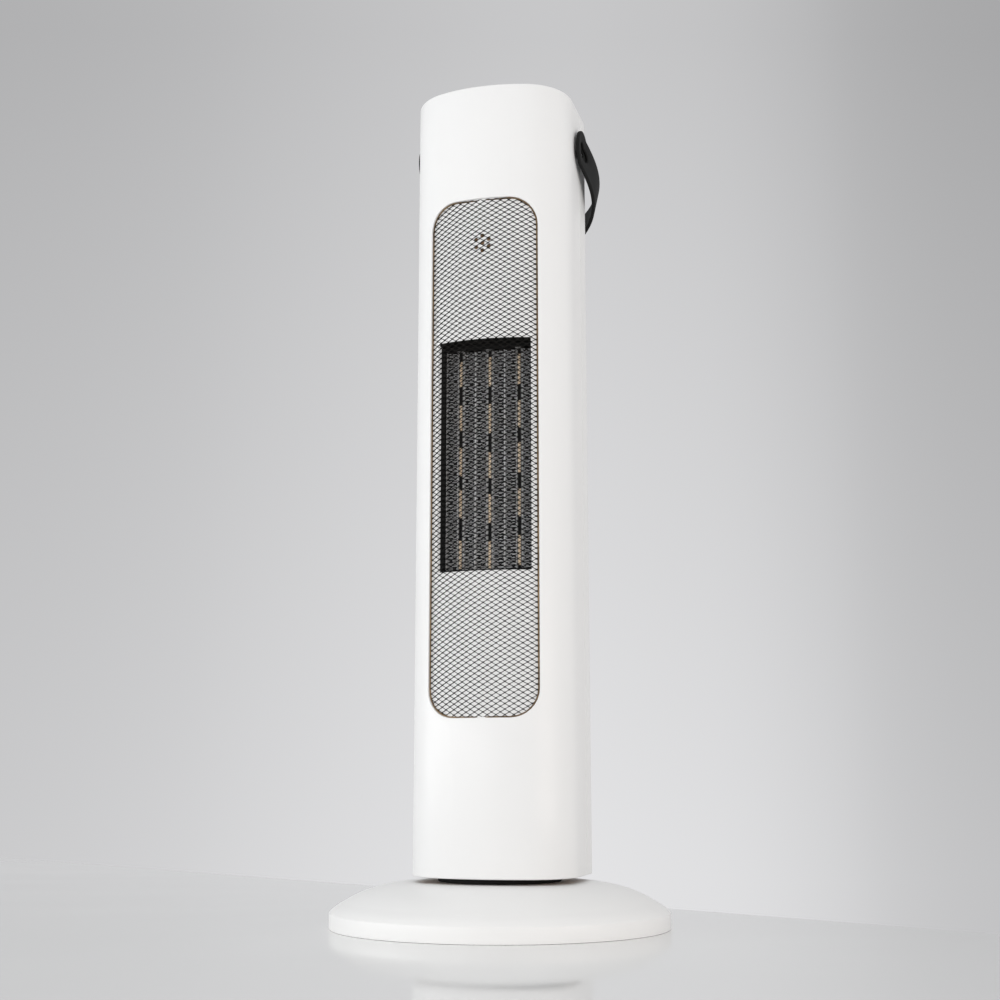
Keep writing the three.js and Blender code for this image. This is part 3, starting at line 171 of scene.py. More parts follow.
def new_object(name, bm):
    """An object in the scene that takes over a mesh in the making."""
    mesh = bpy.data.meshes.new(name)
    bm.to_mesh(mesh)
    bm.free()
    made = bpy.data.objects.new(name, mesh)
    bpy.context.scene.collection.objects.link(made)
    return made


def finish_piece(name, bm, looks, body, nodes, crease=32):
    """Makes a piece from its mesh, in metres, and hangs it on its body in place of its nodes.

    It is smooth but for edges that turn by more than the crease's degrees."""
    bmesh.ops.scale(bm, vec=(METRE,) * 3, verts=bm.verts[:])
    for face in bm.faces:
        face.smooth = True
    piece = new_object(name, bm)
    piece.data.set_sharp_from_angle(angle=math.radians(crease))
    for look in looks:
        piece.data.materials.append(look)
    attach(piece, body)
    if nodes:
        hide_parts(*nodes)


def rectangle(bm, x, z, corner, depth):
    """An edge loop across and up at one depth, with rounded corners."""
    place = (
        Matrix.Translation((sum(x) / 2, depth, sum(z) / 2))
        @ Matrix.Rotation(QUARTER, 4, "X")
        @ Matrix.Diagonal((x[1] - x[0], z[1] - z[0], 1, 1))
    )
    verts = bmesh.ops.create_grid(bm, x_segments=1, y_segments=1, size=0.5, matrix=place)["verts"]
    if corner > 0:
        verts = bmesh.ops.bevel(
            bm, geom=verts, offset=corner, segments=CORNER_STEPS, profile=0.5, affect="VERTICES", material=-1
        )["verts"]
    face = verts[0].link_faces[0]
    edges = face.edges[:]
    bmesh.ops.delete(bm, geom=[face], context="FACES_ONLY")
    return edges


def ring(bm, radius, steps, place):
    """A circle's edge loop."""
    made = bmesh.ops.create_circle(bm, cap_ends=False, segments=steps, radius=radius, matrix=place)
    return edges_of(made["verts"])


def upright_ring(bm, x, z, radius, depth):
    place = Matrix.Translation((x, depth, z)) @ Matrix.Rotation(QUARTER, 4, "X")
    return ring(bm, radius, CIRCLE_STEPS, place)


def soft_block(bm, x, y, z, edge, segments=2):
    """A block with rounded edges, added to a mesh."""
    size = (x[1] - x[0], y[1] - y[0], z[1] - z[0])
    place = Matrix.Translation([(a + b) / 2 for a, b in (x, y, z)]) @ Matrix.Diagonal((*size, 1))
    verts = bmesh.ops.create_cube(bm, size=1, matrix=place)["verts"]
    bmesh.ops.bevel(
        bm, geom=edges_of(verts), offset=edge, segments=segments, profile=0.5, affect="EDGES", material=-1
    )


def rounding(radius, steps):
    """Depth and share of setback down a rounded edge, from the face to the wall."""
    turns = [QUARTER * (1 - i / steps) for i in range(steps + 1)]
    return [(radius * (1 - math.sin(turn)), 1 - math.cos(turn)) for turn in turns]


def plate(depths, outline, holes, place=None, round_steps=3, back_round=0.0):
    """A flat plate with rounded front edges. A loop is its shape, its sizes and its edge's radius.

    A rectangle's sizes are across, up and corner radius, then a setback for each side if they differ.
    A circle's are its middle, across and up, and its radius. Place is where each x goes, apart from those
    of an outline with square corners, which are already runs round the tower."""
    bm = bmesh.new()
    front, back = [], []
    for index, (shape, sizes, edge) in enumerate([outline, *holes]):
        way = -1 if index else 1
        square = shape == "rectangle" and not sizes[2]
        levels = [(depths[0] + drop, share) for drop, share in rounding(edge, round_steps)]
        levels.append((depths[1] - back_round, 0))
        if back_round:
            levels.append((depths[1], BACK_SHARE))
        loops = []
        for depth, share in levels:
            if shape == "circle":
                x, z, radius = sizes
                loop = upright_ring(bm, x, z, radius - way * share * edge, depth)
            else:
                (x0, x1), (z0, z1), corner = sizes[:3]
                setbacks = sizes[3] if len(sizes) > 3 else (edge,) * 4
                left, right, low, high = [way * share * setback for setback in setbacks]
                corner_here = 0 if square else corner - way * share * edge
                loop = rectangle(bm, (x0 + left, x1 - right), (z0 + low, z1 - high), corner_here, depth)
            if place and (index or not square):
                for vert in verts_of(loop):
                    vert.co.x = place(vert.co.x)
            loops.append(loop)
        bridge(bm, loops)
        front += loops[0]
        back += loops[-1]
    fill(bm, front)
    fill(bm, back)
    turn_outwards(bm)
    return bm


def fold_lines(start, end):
    """Runs at which a flat sheet is scored before it is bent round the tower."""
    lines, low = [0.0], 0.0
    for high, step in zip((front_run, corner_end, side_end, rear_corner_end, half_round), FOLD_STEPS):
        count = max(1, math.ceil((high - low) / step))
        lines += [low + (high - low) * (i + 1) / count for i in range(count)]
        low = high
    lines += [-line for line in lines] + [2 * half_round - line for line in lines]
    return sorted({round(line, 4) for line in lines if start + FOLD_CLEAR < line < end - FOLD_CLEAR})


def bend_round_tower(bm):
    """Bends a flat sheet whose x is the run round the tower and whose y is the inset."""
    runs = [vert.co.x for vert in bm.verts]
    for line in fold_lines(min(runs), max(runs)):
        slice_at(bm, (line, 0, 0), (1, 0, 0))
    for vert in bm.verts:
        x, y = around(vert.co.x, vert.co.y)
        vert.co = (x, y, vert.co.z)
    return bm


def lathe(profile, steps, axis=(0, 0, 1), centre=(0, 0, 0)):
    """A turned piece: the profile's points are (radius, along the axis)."""
    bm = bmesh.new()
    turn = Vector((0, 0, 1)).rotation_difference(Vector(axis)).to_matrix().to_4x4()
    verts = [bm.verts.new((radius, 0, along)) for radius, along in profile]
    edges = [bm.edges.new(pair) for pair in zip(verts, verts[1:])]
    bmesh.ops.spin(
        bm, geom=verts + edges, cent=(0, 0, 0), axis=(0, 0, 1), dvec=(0, 0, 0),
        angle=2 * math.pi, steps=steps, use_merge=True, use_duplicate=False,
    )
    join_doubles(bm)
    turn_outwards(bm)
    bmesh.ops.transform(bm, matrix=Matrix.Translation(centre) @ turn, verts=bm.verts[:])
    return bm


def add_to(bm, other):
    """Moves one mesh's faces into another."""
    keep = bpy.data.meshes.new("part")
    other.to_mesh(keep)
    other.free()
    bm.from_mesh(keep)
    bpy.data.meshes.remove(keep)


def paint(bm, start, index):
    """Gives every face from the start on the look with this index."""
    bm.faces.ensure_lookup_table()
    for face in bm.faces[start:]:
        face.material_index = index


def curve_points(start, pull, end, steps):
    """Points along a curve that is pulled from its straight line towards one point."""
    points = []
    for i in range(steps + 1):
        t = i / steps
        weights = ((1 - t) ** 2, 2 * t * (1 - t), t * t)
        points.append(tuple(
            weights[0] * a + weights[1] * b + weights[2] * c for a, b, c in zip(start, pull, end)
        ))
    return points


# Shared effects

GRAIN_SIZE, PATCH_SIZE = 2200.0, 18.0
SPOT_SIZE, SPOT_SHARE = 900.0, 0.5
LINE_SIZE = 1800.0
ALONG_Z = (1.0, 1.0, 0.03)
ALONG_Y = (1, 0.1, 1)
GRAIN_DEPTH, LINE_DEPTH = 0.0001, 0.00005
# The part of a noise's values that is spread over an effect's whole range
SHEEN_RANGE, TONE_RANGE, STAIN_RANGE, LINE_RANGE = (0.3, 0.7), (0.35, 0.65), (0.35, 0.7), (0.3, 0.7)


def new_group(name, inputs, outputs):
    tree = bpy.data.node_groups.new(name, "ShaderNodeTree")
    for label, kind, value in inputs:
        socket = tree.interface.new_socket(name=label, in_out="INPUT", socket_type=kind)
        socket.default_value = value
    for label, kind in outputs:
        tree.interface.new_socket(name=label, in_out="OUTPUT", socket_type=kind)
    return tree, tree.nodes.new("NodeGroupInput"), tree.nodes.new("NodeGroupOutput")


def node(tree, kind, sockets=(), **settings):
    made = tree.nodes.new(kind)
    for key, value in settings.items():
        setattr(made, key, value)
    for key, value in dict(sockets).items():
        made.inputs[key].default_value = value
    return made


def noise(tree, scale, detail, roughness):
    """Noise on the piece's own coordinates, with a scale per metre."""
    place = node(tree, "ShaderNodeTexCoord")
    made = node(tree, "ShaderNodeTexNoise", {"Scale": scale, "Detail": detail, "Roughness": roughness})
    tree.links.new(place.outputs["Object"], made.inputs["Vector"])
    return made


def spread(tree, source, low, high, to_low=0.0, to_high=1.0):
    """Carries a range of values to another range."""
    ranges = {"From Min": low, "From Max": high, "To Min": to_low, "To Max": to_high}
    made = node(tree, "ShaderNodeMapRange", ranges)
    tree.links.new(source, made.inputs["Value"])
    return made.outputs["Result"]


def moulded_grain():
    """The fine texture of a moulded surface, and the slow unevenness of its sheen and tone."""
    tree, inside, outside = new_group(
        "moulded_grain",
        [("Grain size", "NodeSocketFloat", GRAIN_SIZE), ("Patch size", "NodeSocketFloat", PATCH_SIZE)],
        [("Height", "NodeSocketFloat"), ("Sheen", "NodeSocketFloat"), ("Tone", "NodeSocketFloat")],
    )
    grain = noise(tree, GRAIN_SIZE, detail=3.0, roughness=0.6)
    patch = noise(tree, PATCH_SIZE, detail=4.0, roughness=0.55)
    slow = noise(tree, 5.0, detail=2.0, roughness=0.5)
    tree.links.new(inside.outputs["Grain size"], grain.inputs["Scale"])
    tree.links.new(inside.outputs["Patch size"], patch.inputs["Scale"])
    tree.links.new(grain.outputs["Fac"], outside.inputs["Height"])
    tree.links.new(spread(tree, patch.outputs["Fac"], *SHEEN_RANGE), outside.inputs["Sheen"])
    tree.links.new(spread(tree, slow.outputs["Fac"], *TONE_RANGE), outside.inputs["Tone"])
    return tree


def speckle():
    """Small spots, as in fired ceramic, cast iron and soft foam."""
    tree, inside, outside = new_group(
        "speckle",
        [("Spot size", "NodeSocketFloat", SPOT_SIZE), ("Share", "NodeSocketFloat", SPOT_SHARE)],
        [("Spots", "NodeSocketFloat"), ("Height", "NodeSocketFloat")],
    )
    place = node(tree, "ShaderNodeTexCoord")
    cells = node(tree, "ShaderNodeTexVoronoi", {"Scale": SPOT_SIZE})
    tree.links.new(place.outputs["Object"], cells.inputs["Vector"])
    tree.links.new(inside.outputs["Spot size"], cells.inputs["Scale"])
    fine = noise(tree, 300.0, detail=5.0, roughness=0.65)
    limit = node(tree, "ShaderNodeMath", operation="LESS_THAN")
    tree.links.new(fine.outputs["Fac"], limit.inputs[0])
    tree.links.new(inside.outputs["Share"], limit.inputs[1])
    tree.links.new(limit.outputs["Value"], outside.inputs["Spots"])
    tree.links.new(cells.outputs["Distance"], outside.inputs["Height"])
    return tree


def brushing():
    """Long fine scratches along one direction, as on rolled or drawn metal."""
    tree, inside, outside = new_group(
        "brushing",
        [("Stretch", "NodeSocketVector", ALONG_Z)],
        [("Lines", "NodeSocketFloat"), ("Stain", "NodeSocketFloat")],
    )
    place = node(tree, "ShaderNodeTexCoord")
    mapping = node(tree, "ShaderNodeMapping")
    lines = node(tree, "ShaderNodeTexNoise", {"Scale": LINE_SIZE, "Detail": 4.0, "Roughness": 0.7})
    tree.links.new(place.outputs["Object"], mapping.inputs["Vector"])
    tree.links.new(inside.outputs["Stretch"], mapping.inputs["Scale"])
    tree.links.new(mapping.outputs["Vector"], lines.inputs["Vector"])
    stain = noise(tree, 60.0, detail=4.0, roughness=0.6)
    tree.links.new(lines.outputs["Fac"], outside.inputs["Lines"])
    tree.links.new(spread(tree, stain.outputs["Fac"], *STAIN_RANGE), outside.inputs["Stain"])
    return tree


GRAIN, SPECKLE, BRUSHING = moulded_grain(), speckle(), brushing()
TRACK_TONES, LACQUER_TONE = ((0.03, 0.16, 0.07, 1), (0.05, 0.24, 0.10, 1)), (0.02, 0.10, 0.04, 1)
TRACK_SIZE, TRACK_GAP, TRACK_BIAS, BOARD_GLOSS = 220.0, 0.04, 0.3, (0.35, 0.55)


def effect(tree, group, values):
    made = tree.nodes.new("ShaderNodeGroup")
    made.node_tree = group
    for key, value in values.items():
        made.inputs[key].default_value = value
    return made


def new_look(name, **sockets):
    look = bpy.data.materials.new(name)
    look.use_nodes = True
    shader = look.node_tree.nodes["Principled BSDF"]
    for key, value in sockets.items():
        shader.inputs[key.replace("_", " ")].default_value = value
    return look, look.node_tree, shader


def two_tones(tree, shader, mask, first, second):
    mix = node(tree, "ShaderNodeMix", data_type="RGBA")
    mix.inputs["A"].default_value = (*first, 1)
    mix.inputs["B"].default_value = (*second, 1)
    tree.links.new(mask, mix.inputs["Factor"])
    tree.links.new(mix.outputs["Result"], shader.inputs["Base Color"])


def raise_grain(tree, shader, height, strength, distance):
    bump = node(tree, "ShaderNodeBump", {"Strength": strength, "Distance": distance})
    tree.links.new(height, bump.inputs["Height"])
    tree.links.new(bump.outputs["Normal"], shader.inputs["Normal"])


def moulded(name, first, second, gloss, strength, size=GRAIN_SIZE, **sockets):
    """A moulded plastic: two close tones, a range of roughness, and the strength of its grain."""
    look, tree, shader = new_look(name, **sockets)
    grain = effect(tree, GRAIN, {"Grain size": size})
    two_tones(tree, shader, grain.outputs["Tone"], first, second)
    tree.links.new(spread(tree, grain.outputs["Sheen"], 0, 1, *gloss), shader.inputs["Roughness"])
    raise_grain(tree, shader, grain.outputs["Height"], strength, GRAIN_DEPTH)
    return look


def metal(name, first, second, gloss, stretch=ALONG_Z, strength=0.15, metallic=1.0):
    """A drawn or rolled metal: clean and stained tone, a range of roughness, and the brushing's way."""
    look, tree, shader = new_look(name, Metallic=metallic)
    lines = effect(tree, BRUSHING, {"Stretch": stretch})
    two_tones(tree, shader, lines.outputs["Stain"], first, second)
    tree.links.new(spread(tree, lines.outputs["Lines"], *LINE_RANGE, *gloss), shader.inputs["Roughness"])
    raise_grain(tree, shader, lines.outputs["Lines"], strength, LINE_DEPTH)
    return look


def spotted(name, first, second, rough, size, share, strength, distance, **sockets):
    """A grainy material: ground and spot tone, one roughness, and the size, share and height of spots."""
    look, tree, shader = new_look(name, Roughness=rough, **sockets)
    spots = effect(tree, SPECKLE, {"Spot size": size, "Share": share})
    two_tones(tree, shader, spots.outputs["Spots"], first, second)
    raise_grain(tree, shader, spots.outputs["Height"], strength, distance)
    return look


def circuit_board():
    """Green lacquer with the tracks under it showing as lighter blocks."""
    look, tree, shader = new_look("circuit_board", Coat_Weight=0.4, Coat_Roughness=0.15)
    place = node(tree, "ShaderNodeTexCoord")
    tones = {"Color1": TRACK_TONES[0], "Color2": TRACK_TONES[1], "Mortar": LACQUER_TONE}
    sizes = {"Scale": TRACK_SIZE, "Mortar Size": TRACK_GAP, "Bias": TRACK_BIAS}
    bricks = node(tree, "ShaderNodeTexBrick", {**tones, **sizes})
    tree.links.new(place.outputs["Object"], bricks.inputs["Vector"])
    tree.links.new(bricks.outputs["Color"], shader.inputs["Base Color"])
    tree.links.new(spread(tree, bricks.outputs["Fac"], 0, 1, *BOARD_GLOSS), shader.inputs["Roughness"])
    raise_grain(tree, shader, bricks.outputs["Fac"], strength=0.3, distance=GRAIN_DEPTH)
    return look


# Ranges of roughness, and the two tones of the inner white
SATIN, MATT = (0.34, 0.44), (0.5, 0.62)
INNER_TONES = ((0.91, 0.905, 0.895), (0.93, 0.925, 0.92))

# Looks by material slot, then those of single pieces and parts of pieces
LOOKS = {
    "white_plastic": moulded(
        "satin_white", (0.885, 0.885, 0.88), (0.90, 0.90, 0.895), SATIN, strength=0.05
    ),
    "inner_plastic": moulded("inner_white", *INNER_TONES, MATT, strength=0.08),
    "black_plastic": moulded(
        "satin_black", (0.007, 0.007, 0.007), (0.012, 0.0115, 0.011), (0.38, 0.55), strength=0.2, size=1600.0
    ),
    "charcoal_plastic": moulded(
        "soft_charcoal", (0.005, 0.005, 0.005), (0.009, 0.009, 0.009), (0.62, 0.75), strength=0.25,
        size=1500.0, Specular_IOR_Level=0.21,
    ),
    "mesh_metal": moulded(
        "mesh_black", (0.003, 0.003, 0.003), (0.007, 0.006, 0.005), (0.58, 0.72), strength=0.2,
        size=1800.0, Specular_IOR_Level=0.15,
    ),
    "rubber": moulded(
        "black_rubber", (0.018, 0.018, 0.018), (0.030, 0.029, 0.028), (0.75, 0.9), strength=0.35, size=1100.0
    ),
    "steel": metal("plated_steel", (0.50, 0.50, 0.51), (0.60, 0.60, 0.60), (0.28, 0.42)),
    "ballast_iron": spotted(
        "cast_iron", (0.10, 0.10, 0.105), (0.16, 0.155, 0.15), rough=0.7, size=700.0, share=0.5,
        strength=0.5, distance=0.0003, Metallic=0.8,
    ),
    "motor_case": metal(
        "motor_can", (0.48, 0.48, 0.49), (0.60, 0.60, 0.61), (0.3, 0.45), stretch=(1, 1, 0.1)
    ),
    "aluminium": metal(
        "fin_foil", (0.80, 0.80, 0.82), (0.66, 0.63, 0.58), (0.22, 0.4), stretch=ALONG_Y, strength=0.2
    ),
    "ceramic": spotted(
        "fired_ceramic", (0.84, 0.68, 0.50), (0.70, 0.53, 0.36), rough=0.8, size=1200.0, share=0.46,
        strength=0.4, distance=0.0002,
    ),
    "board": circuit_board(),
    "acetal": moulded(
        "natural_acetal", (0.80, 0.78, 0.70), (0.84, 0.82, 0.76), (0.3, 0.42), strength=0.06
    ),
    "filter": spotted(
        "filter_foam", (0.03, 0.03, 0.032), (0.07, 0.07, 0.075), rough=0.95, size=700.0, share=0.5,
        strength=1.0, distance=0.0008,
    ),
    "smoke": moulded(
        "smoke_window", (0.006, 0.006, 0.008), (0.010, 0.010, 0.012), (0.04, 0.09), strength=0.01,
        Coat_Weight=0.6,
    ),
    "base_white": moulded(
        "base_white", (0.925, 0.922, 0.912), (0.94, 0.937, 0.927), SATIN, strength=0.05
    ),
    # Bronze painted on the mesh rim and the receiver hole walls, as the warm glint where light grazes them
    "bronze_painted_glint": metal(
        "bronze_painted_glint", (0.10, 0.066, 0.036), (0.24, 0.16, 0.085), (0.28, 0.45), stretch=(1, 1, 1),
        strength=0.15, metallic=0.7,
    ),
    # The inner panel glows faintly: painted light that brightens it behind the mesh
    "painted_glow_panel": moulded(
        "painted_glow_panel", *INNER_TONES, MATT, strength=0.08, Emission_Color=(1, 1, 1, 1), Emission_Strength=0.29
    ),
    # Bright foil front edges, painted as a glint, and near-black fold walls, painted as the shade between
    # the folds
    "fin_painted_glint": metal(
        "fin_painted_glint", (0.95, 0.95, 0.97), (0.85, 0.84, 0.83), (0.3, 0.45), stretch=ALONG_Y,
        strength=0.2, metallic=0.1,
    ),
    "fin_painted_shade": metal(
        "fin_painted_shade", (0.004, 0.004, 0.005), (0.010, 0.010, 0.009), (0.4, 0.6), stretch=ALONG_Y, strength=0.2
    ),
    "deep_black": moulded(
        "deep_black", (0.003, 0.003, 0.003), (0.006, 0.006, 0.0055), (0.6, 0.78), strength=0.2,
        size=1600.0, Specular_IOR_Level=0.15,
    ),
    # A tan underside, painted so its bounce warms the shade between the tower and the dome
    "painted_warm_bounce": moulded(
        "painted_warm_bounce", (0.42, 0.27, 0.17), (0.50, 0.33, 0.21), (0.5, 0.65), strength=0.1
    ),
    # Foil rails painted a dim grey, as the shade they lie in deep in the element
    "foil_painted_shade": metal(
        "foil_painted_shade", (0.42, 0.42, 0.42), (0.52, 0.51, 0.50), (0.3, 0.45), stretch=ALONG_Y,
        strength=0.2, metallic=0.1,
    ),
    "receiver_window": moulded(
        "receiver_window", (0.40, 0.25, 0.13), (0.48, 0.30, 0.16), (0.3, 0.4), strength=0.02
    ),
    "dull_steel": metal("dull_steel", (0.10, 0.10, 0.10), (0.17, 0.165, 0.16), (0.35, 0.5)),
}
OTHER_LOOKS = {
    "window_bezel": "deep_black",
    "heater_frame_top": "deep_black",
    "heater_frame_bottom": "deep_black",
    # The tower's underside is painted tan so its bounce warms the shade on the dome
    "tower_floor": "painted_warm_bounce",
    "ir_receiver": "receiver_window",
}

# Every solid that stays gets the look of its material slot, or its own
for part in frame["record"]["subparts"]:
    carried = frame["nodes"][part["node"]]
    carried.data.materials.clear()
    carried.data.materials.append(LOOKS[OTHER_LOOKS.get(part["node"], part["material_slot"])])


# Tower shells

SHELL_EDGE, SHELL_SETBACKS = 2.1, (0.3, 0.3, 1.1, 1.5)
OPENING_HALF, OPENING_LOW, OPENING_HIGH, OPENING_CORNER = 46.8, 166.0, 600.0, 23.0
OPENING_EDGE = 0.55
PIVOT_Y, PIVOT_Z, PIVOT_HOLE, PIVOT_HOLE_EDGE = 11.5, 661.7, 4.3, 0.3
# Past this far to the side a place on the front shell is given as a run
FRONT_REACH = 60.0
INTAKE_HALF, INTAKE_LOW, INTAKE_HIGH, INTAKE_CORNER, INTAKE_EDGE = 40.0, 280.0, 490.0, 4.0, 0.5
SWITCH_HOLE = ("rectangle", ((-10.0, 10.0), (77.0, 91.0), 1.2), 0.4)
SCREW_X, SCREW_Z, SCREW_HOLE, SCREW_HOLE_EDGE = 50.0, 104.0, 3.3, 0.4
# The sleeve that holds a screw, as radius and depth behind its front
SLEEVE_FRONT = 40.3
SLEEVE = [(5.4, 15.6), (5.4, 0), (1.9, 0), (1.9, 2.4), (3.35, 2.4), (3.35, 15.6), (5.4, 15.6)]

INTAKE_GAP, SLATS_CORNER, SLATS_EDGE, SLATS_DEPTHS = 0.3, 3.6, 0.4, (0.4, 2.4)
SLOT_ROWS, SLOT_COLUMNS = 2, 11
SLOT_HALF, SLOT_CORNER, SLOT_EDGE, SLOT_BORDER = 1.8, 1.7, 0.35, 7

PANEL_OVERLAP, PANEL_CORNER, PANEL_EDGE, PANEL_DEPTHS = 5.0, 6.0, 0.5, (3.5, 5.5)
RECEIVER_Z, RECEIVER_RING, RECEIVER_HOLE, RECEIVER_HOLE_EDGE = 561.5, 6.5, 1.8, 0.15
RING_HOLES = 6
# A hole's wall, painted bronze as a warm glint, is what lies this near its middle and faces less than this
# to the front
RECEIVER_GLINT_REACH, RECEIVER_FACING = 2.2, 0.95
WINDOW_HALF, WINDOW_LOW, WINDOW_HIGH, WINDOW_CORNER, WINDOW_EDGE = 41.6, 284.0, 478.3, 1.0, 0.5
TUNNEL_WALL, TUNNEL_CORNER, TUNNEL_FRONT, TUNNEL_REAR = 1.6, 1.5, 4.4, -18.3
TUNNEL_SLICE, TUNNEL_SLICES = 2.05, 20
# The tunnel's ceiling, painted black as the shade under its top lip, is what lies above this height and
# faces down
SHADE_CEILING_LOW, SHADE_CEILING_FACING = 470, -0.9


def opening_less(gap):
    """The front opening's sizes, smaller by a gap all round."""
    half = OPENING_HALF - gap
    return (-half, half), (OPENING_LOW + gap, OPENING_HIGH - gap), OPENING_CORNER - gap


def front_shell():
    def to_run(x):
        """The pivots are already runs, and the opening is not."""
        return x if abs(x) > FRONT_REACH else front_run_at(x)

    seam = side_run_at(SEAM_DEPTH - SEAM_WIDTH / 2)
    outline = ("rectangle", ((-seam, seam), (TOWER_BOTTOM, TOWER_TOP), 0, SHELL_SETBACKS), SHELL_EDGE)
    opening = ("rectangle", opening_less(0), OPENING_EDGE)
    pivot_run = side_run_at(PIVOT_Y)
    pivots = [("circle", (side * pivot_run, PIVOT_Z, PIVOT_HOLE), PIVOT_HOLE_EDGE) for side in (-1, 1)]
    bm = plate((0, SHELL_WALL), outline, [opening, *pivots], to_run, round_steps=4)
    finish_piece("front_shell_skin", bend_round_tower(bm), [LOOKS["white_plastic"]], "tower",
                 ["front_shell"])


def rear_shell():
    seam = side_run_at(SEAM_DEPTH + SEAM_WIDTH / 2)
    across = (seam, 2 * half_round - seam)
    outline = ("rectangle", (across, (TOWER_BOTTOM, TOWER_TOP), 0, SHELL_SETBACKS), SHELL_EDGE)
    intake = ((-INTAKE_HALF, INTAKE_HALF), (INTAKE_LOW, INTAKE_HIGH), INTAKE_CORNER)
    screws = [("circle", (side * SCREW_X, SCREW_Z, SCREW_HOLE), SCREW_HOLE_EDGE) for side in (-1, 1)]
    holes = [("rectangle", intake, INTAKE_EDGE), SWITCH_HOLE, *screws]
    bm = plate((0, SHELL_WALL), outline, holes, rear_run_at, round_steps=4)
    bend_round_tower(bm)
    for side in (-1, 1):
        add_to(bm, lathe(SLEEVE, steps=32, axis=(0, 1, 0), centre=(side * SCREW_X, SLEEVE_FRONT, SCREW_Z)))
    finish_piece("rear_shell_skin", bm, [LOOKS["white_plastic"]], "tower", ["rear_shell"])


def rear_grille():
    half = INTAKE_HALF - INTAKE_GAP
    low, high = INTAKE_LOW + INTAKE_GAP, INTAKE_HIGH - INTAKE_GAP
    row_height = (high - low - SLOT_BORDER) / SLOT_ROWS
    middle = (SLOT_COLUMNS - 1) / 2
    slots = []
    for row in range(SLOT_ROWS):
        for column in range(SLOT_COLUMNS):
            x = (column - middle) * (half - SLOT_BORDER) / middle
            z = low + SLOT_BORDER + row * row_height
            sizes = ((x - SLOT_HALF, x + SLOT_HALF), (z, z + row_height - SLOT_BORDER), SLOT_CORNER)
            slots.append(("rectangle", sizes, SLOT_EDGE))
    outline = ("rectangle", ((-half, half), (low, high), SLATS_CORNER), SLATS_EDGE)
    bm = plate(SLATS_DEPTHS, outline, slots, rear_run_at, round_steps=2)
    finish_piece("rear_grille_slats", bend_round_tower(bm), [LOOKS["white_plastic"]], "tower",
                 ["rear_grille"])


def window_more(gap, corner):
    """The heater window's sizes, larger by a gap all round."""
    half = WINDOW_HALF + gap
    return (-half, half), (WINDOW_LOW - gap, WINDOW_HIGH + gap), corner


def window_tunnel():
    """The four walls that lead from the panel's window back to the heating element."""
    tunnel = bmesh.new()
    edges = rectangle(tunnel, *window_more(TUNNEL_WALL, TUNNEL_CORNER), depth=0)
    edges += rectangle(tunnel, *window_more(0, WINDOW_CORNER), depth=0)
    fill(tunnel, edges)
    for i in range(-TUNNEL_SLICES, TUNNEL_SLICES + 1):
        slice_at(tunnel, (i * TUNNEL_SLICE, 0, 0), (1, 0, 0))
    walls = bmesh.ops.extrude_face_region(tunnel, geom=tunnel.faces[:])["geom"]
    behind = set(only_verts(walls))
    for vert in tunnel.verts:
        vert.co.y = TUNNEL_REAR if vert in behind else front_depth_at(vert.co.x, TUNNEL_FRONT)
    turn_outwards(tunnel)
    for face in tunnel.faces:
        # The down-facing ceiling is painted black, as shade
        if face.normal.z < SHADE_CEILING_FACING and face.calc_center_median().z > SHADE_CEILING_LOW:
            face.material_index = 1
    return tunnel


def inner_panel():
    """The panel behind the mesh, glowing faintly as painted light, with the window and the receiver's seven
    holes, their walls painted bronze as a warm glint.
    """
    spots = [(0, RECEIVER_Z)]
    for i in range(RING_HOLES):
        turn = (i + 0.5) * 2 * math.pi / RING_HOLES
        spots.append((RECEIVER_RING * math.cos(turn), RECEIVER_Z + RECEIVER_RING * math.sin(turn)))
    holes = [("rectangle", window_more(0, WINDOW_CORNER), WINDOW_EDGE)]
    holes += [("circle", (*spot, RECEIVER_HOLE), RECEIVER_HOLE_EDGE) for spot in spots]
    across, up = opening_less(-PANEL_OVERLAP)[:2]
    bm = plate(PANEL_DEPTHS, ("rectangle", (across, up, PANEL_CORNER), PANEL_EDGE), holes, front_run_at)
    for face in bm.faces:
        middle = face.calc_center_median()
        near = any(math.hypot(middle.x - x, middle.z - z) < RECEIVER_GLINT_REACH for x, z in spots)
        # Hole walls get bronze, painted as a warm glint
        if near and abs(face.normal.y) < RECEIVER_FACING:
            face.material_index = 2
    bend_round_tower(bm)
    add_to(bm, window_tunnel())
    # The panel's look glows faintly, as painted light
    looks = [LOOKS["painted_glow_panel"], LOOKS["deep_black"], LOOKS["bronze_painted_glint"]]
    finish_piece("inner_panel_skin", bm, looks, "tower", ["inner_panel"])


# Expanded-metal mesh

DIAMOND_WIDTH, DIAMOND_HEIGHT = 7.16, 4.36
COLUMNS, ROWS = 15, 104
STRAND_WIDTH, STRAND_WALL, STRAND_CORNER = 0.8, 0.5, 0.42
# A strand's inner edge lies this deep, and this much deeper or less at the diamond's top and foot
STRAND_TIP_DEPTH, STRAND_TILT = 0.16, 0.26
MESH_GAP, MESH_DEPTH, MESH_CORNER_CUTS = 0.5, 1.45, 10
MESH_RIM_GAP, MESH_RIM_INSIDE, MESH_RIM_EDGE, MESH_RIM_DEPTHS = 0.05, 1.2, 0.25, (1.3, 2.2)


def copy_by(bm, pieces, way):
    """Lays a copy of some pieces beside them."""
    copies = bmesh.ops.duplicate(bm, geom=pieces)["geom"]
    bmesh.ops.translate(bm, vec=way, verts=only_verts(copies))


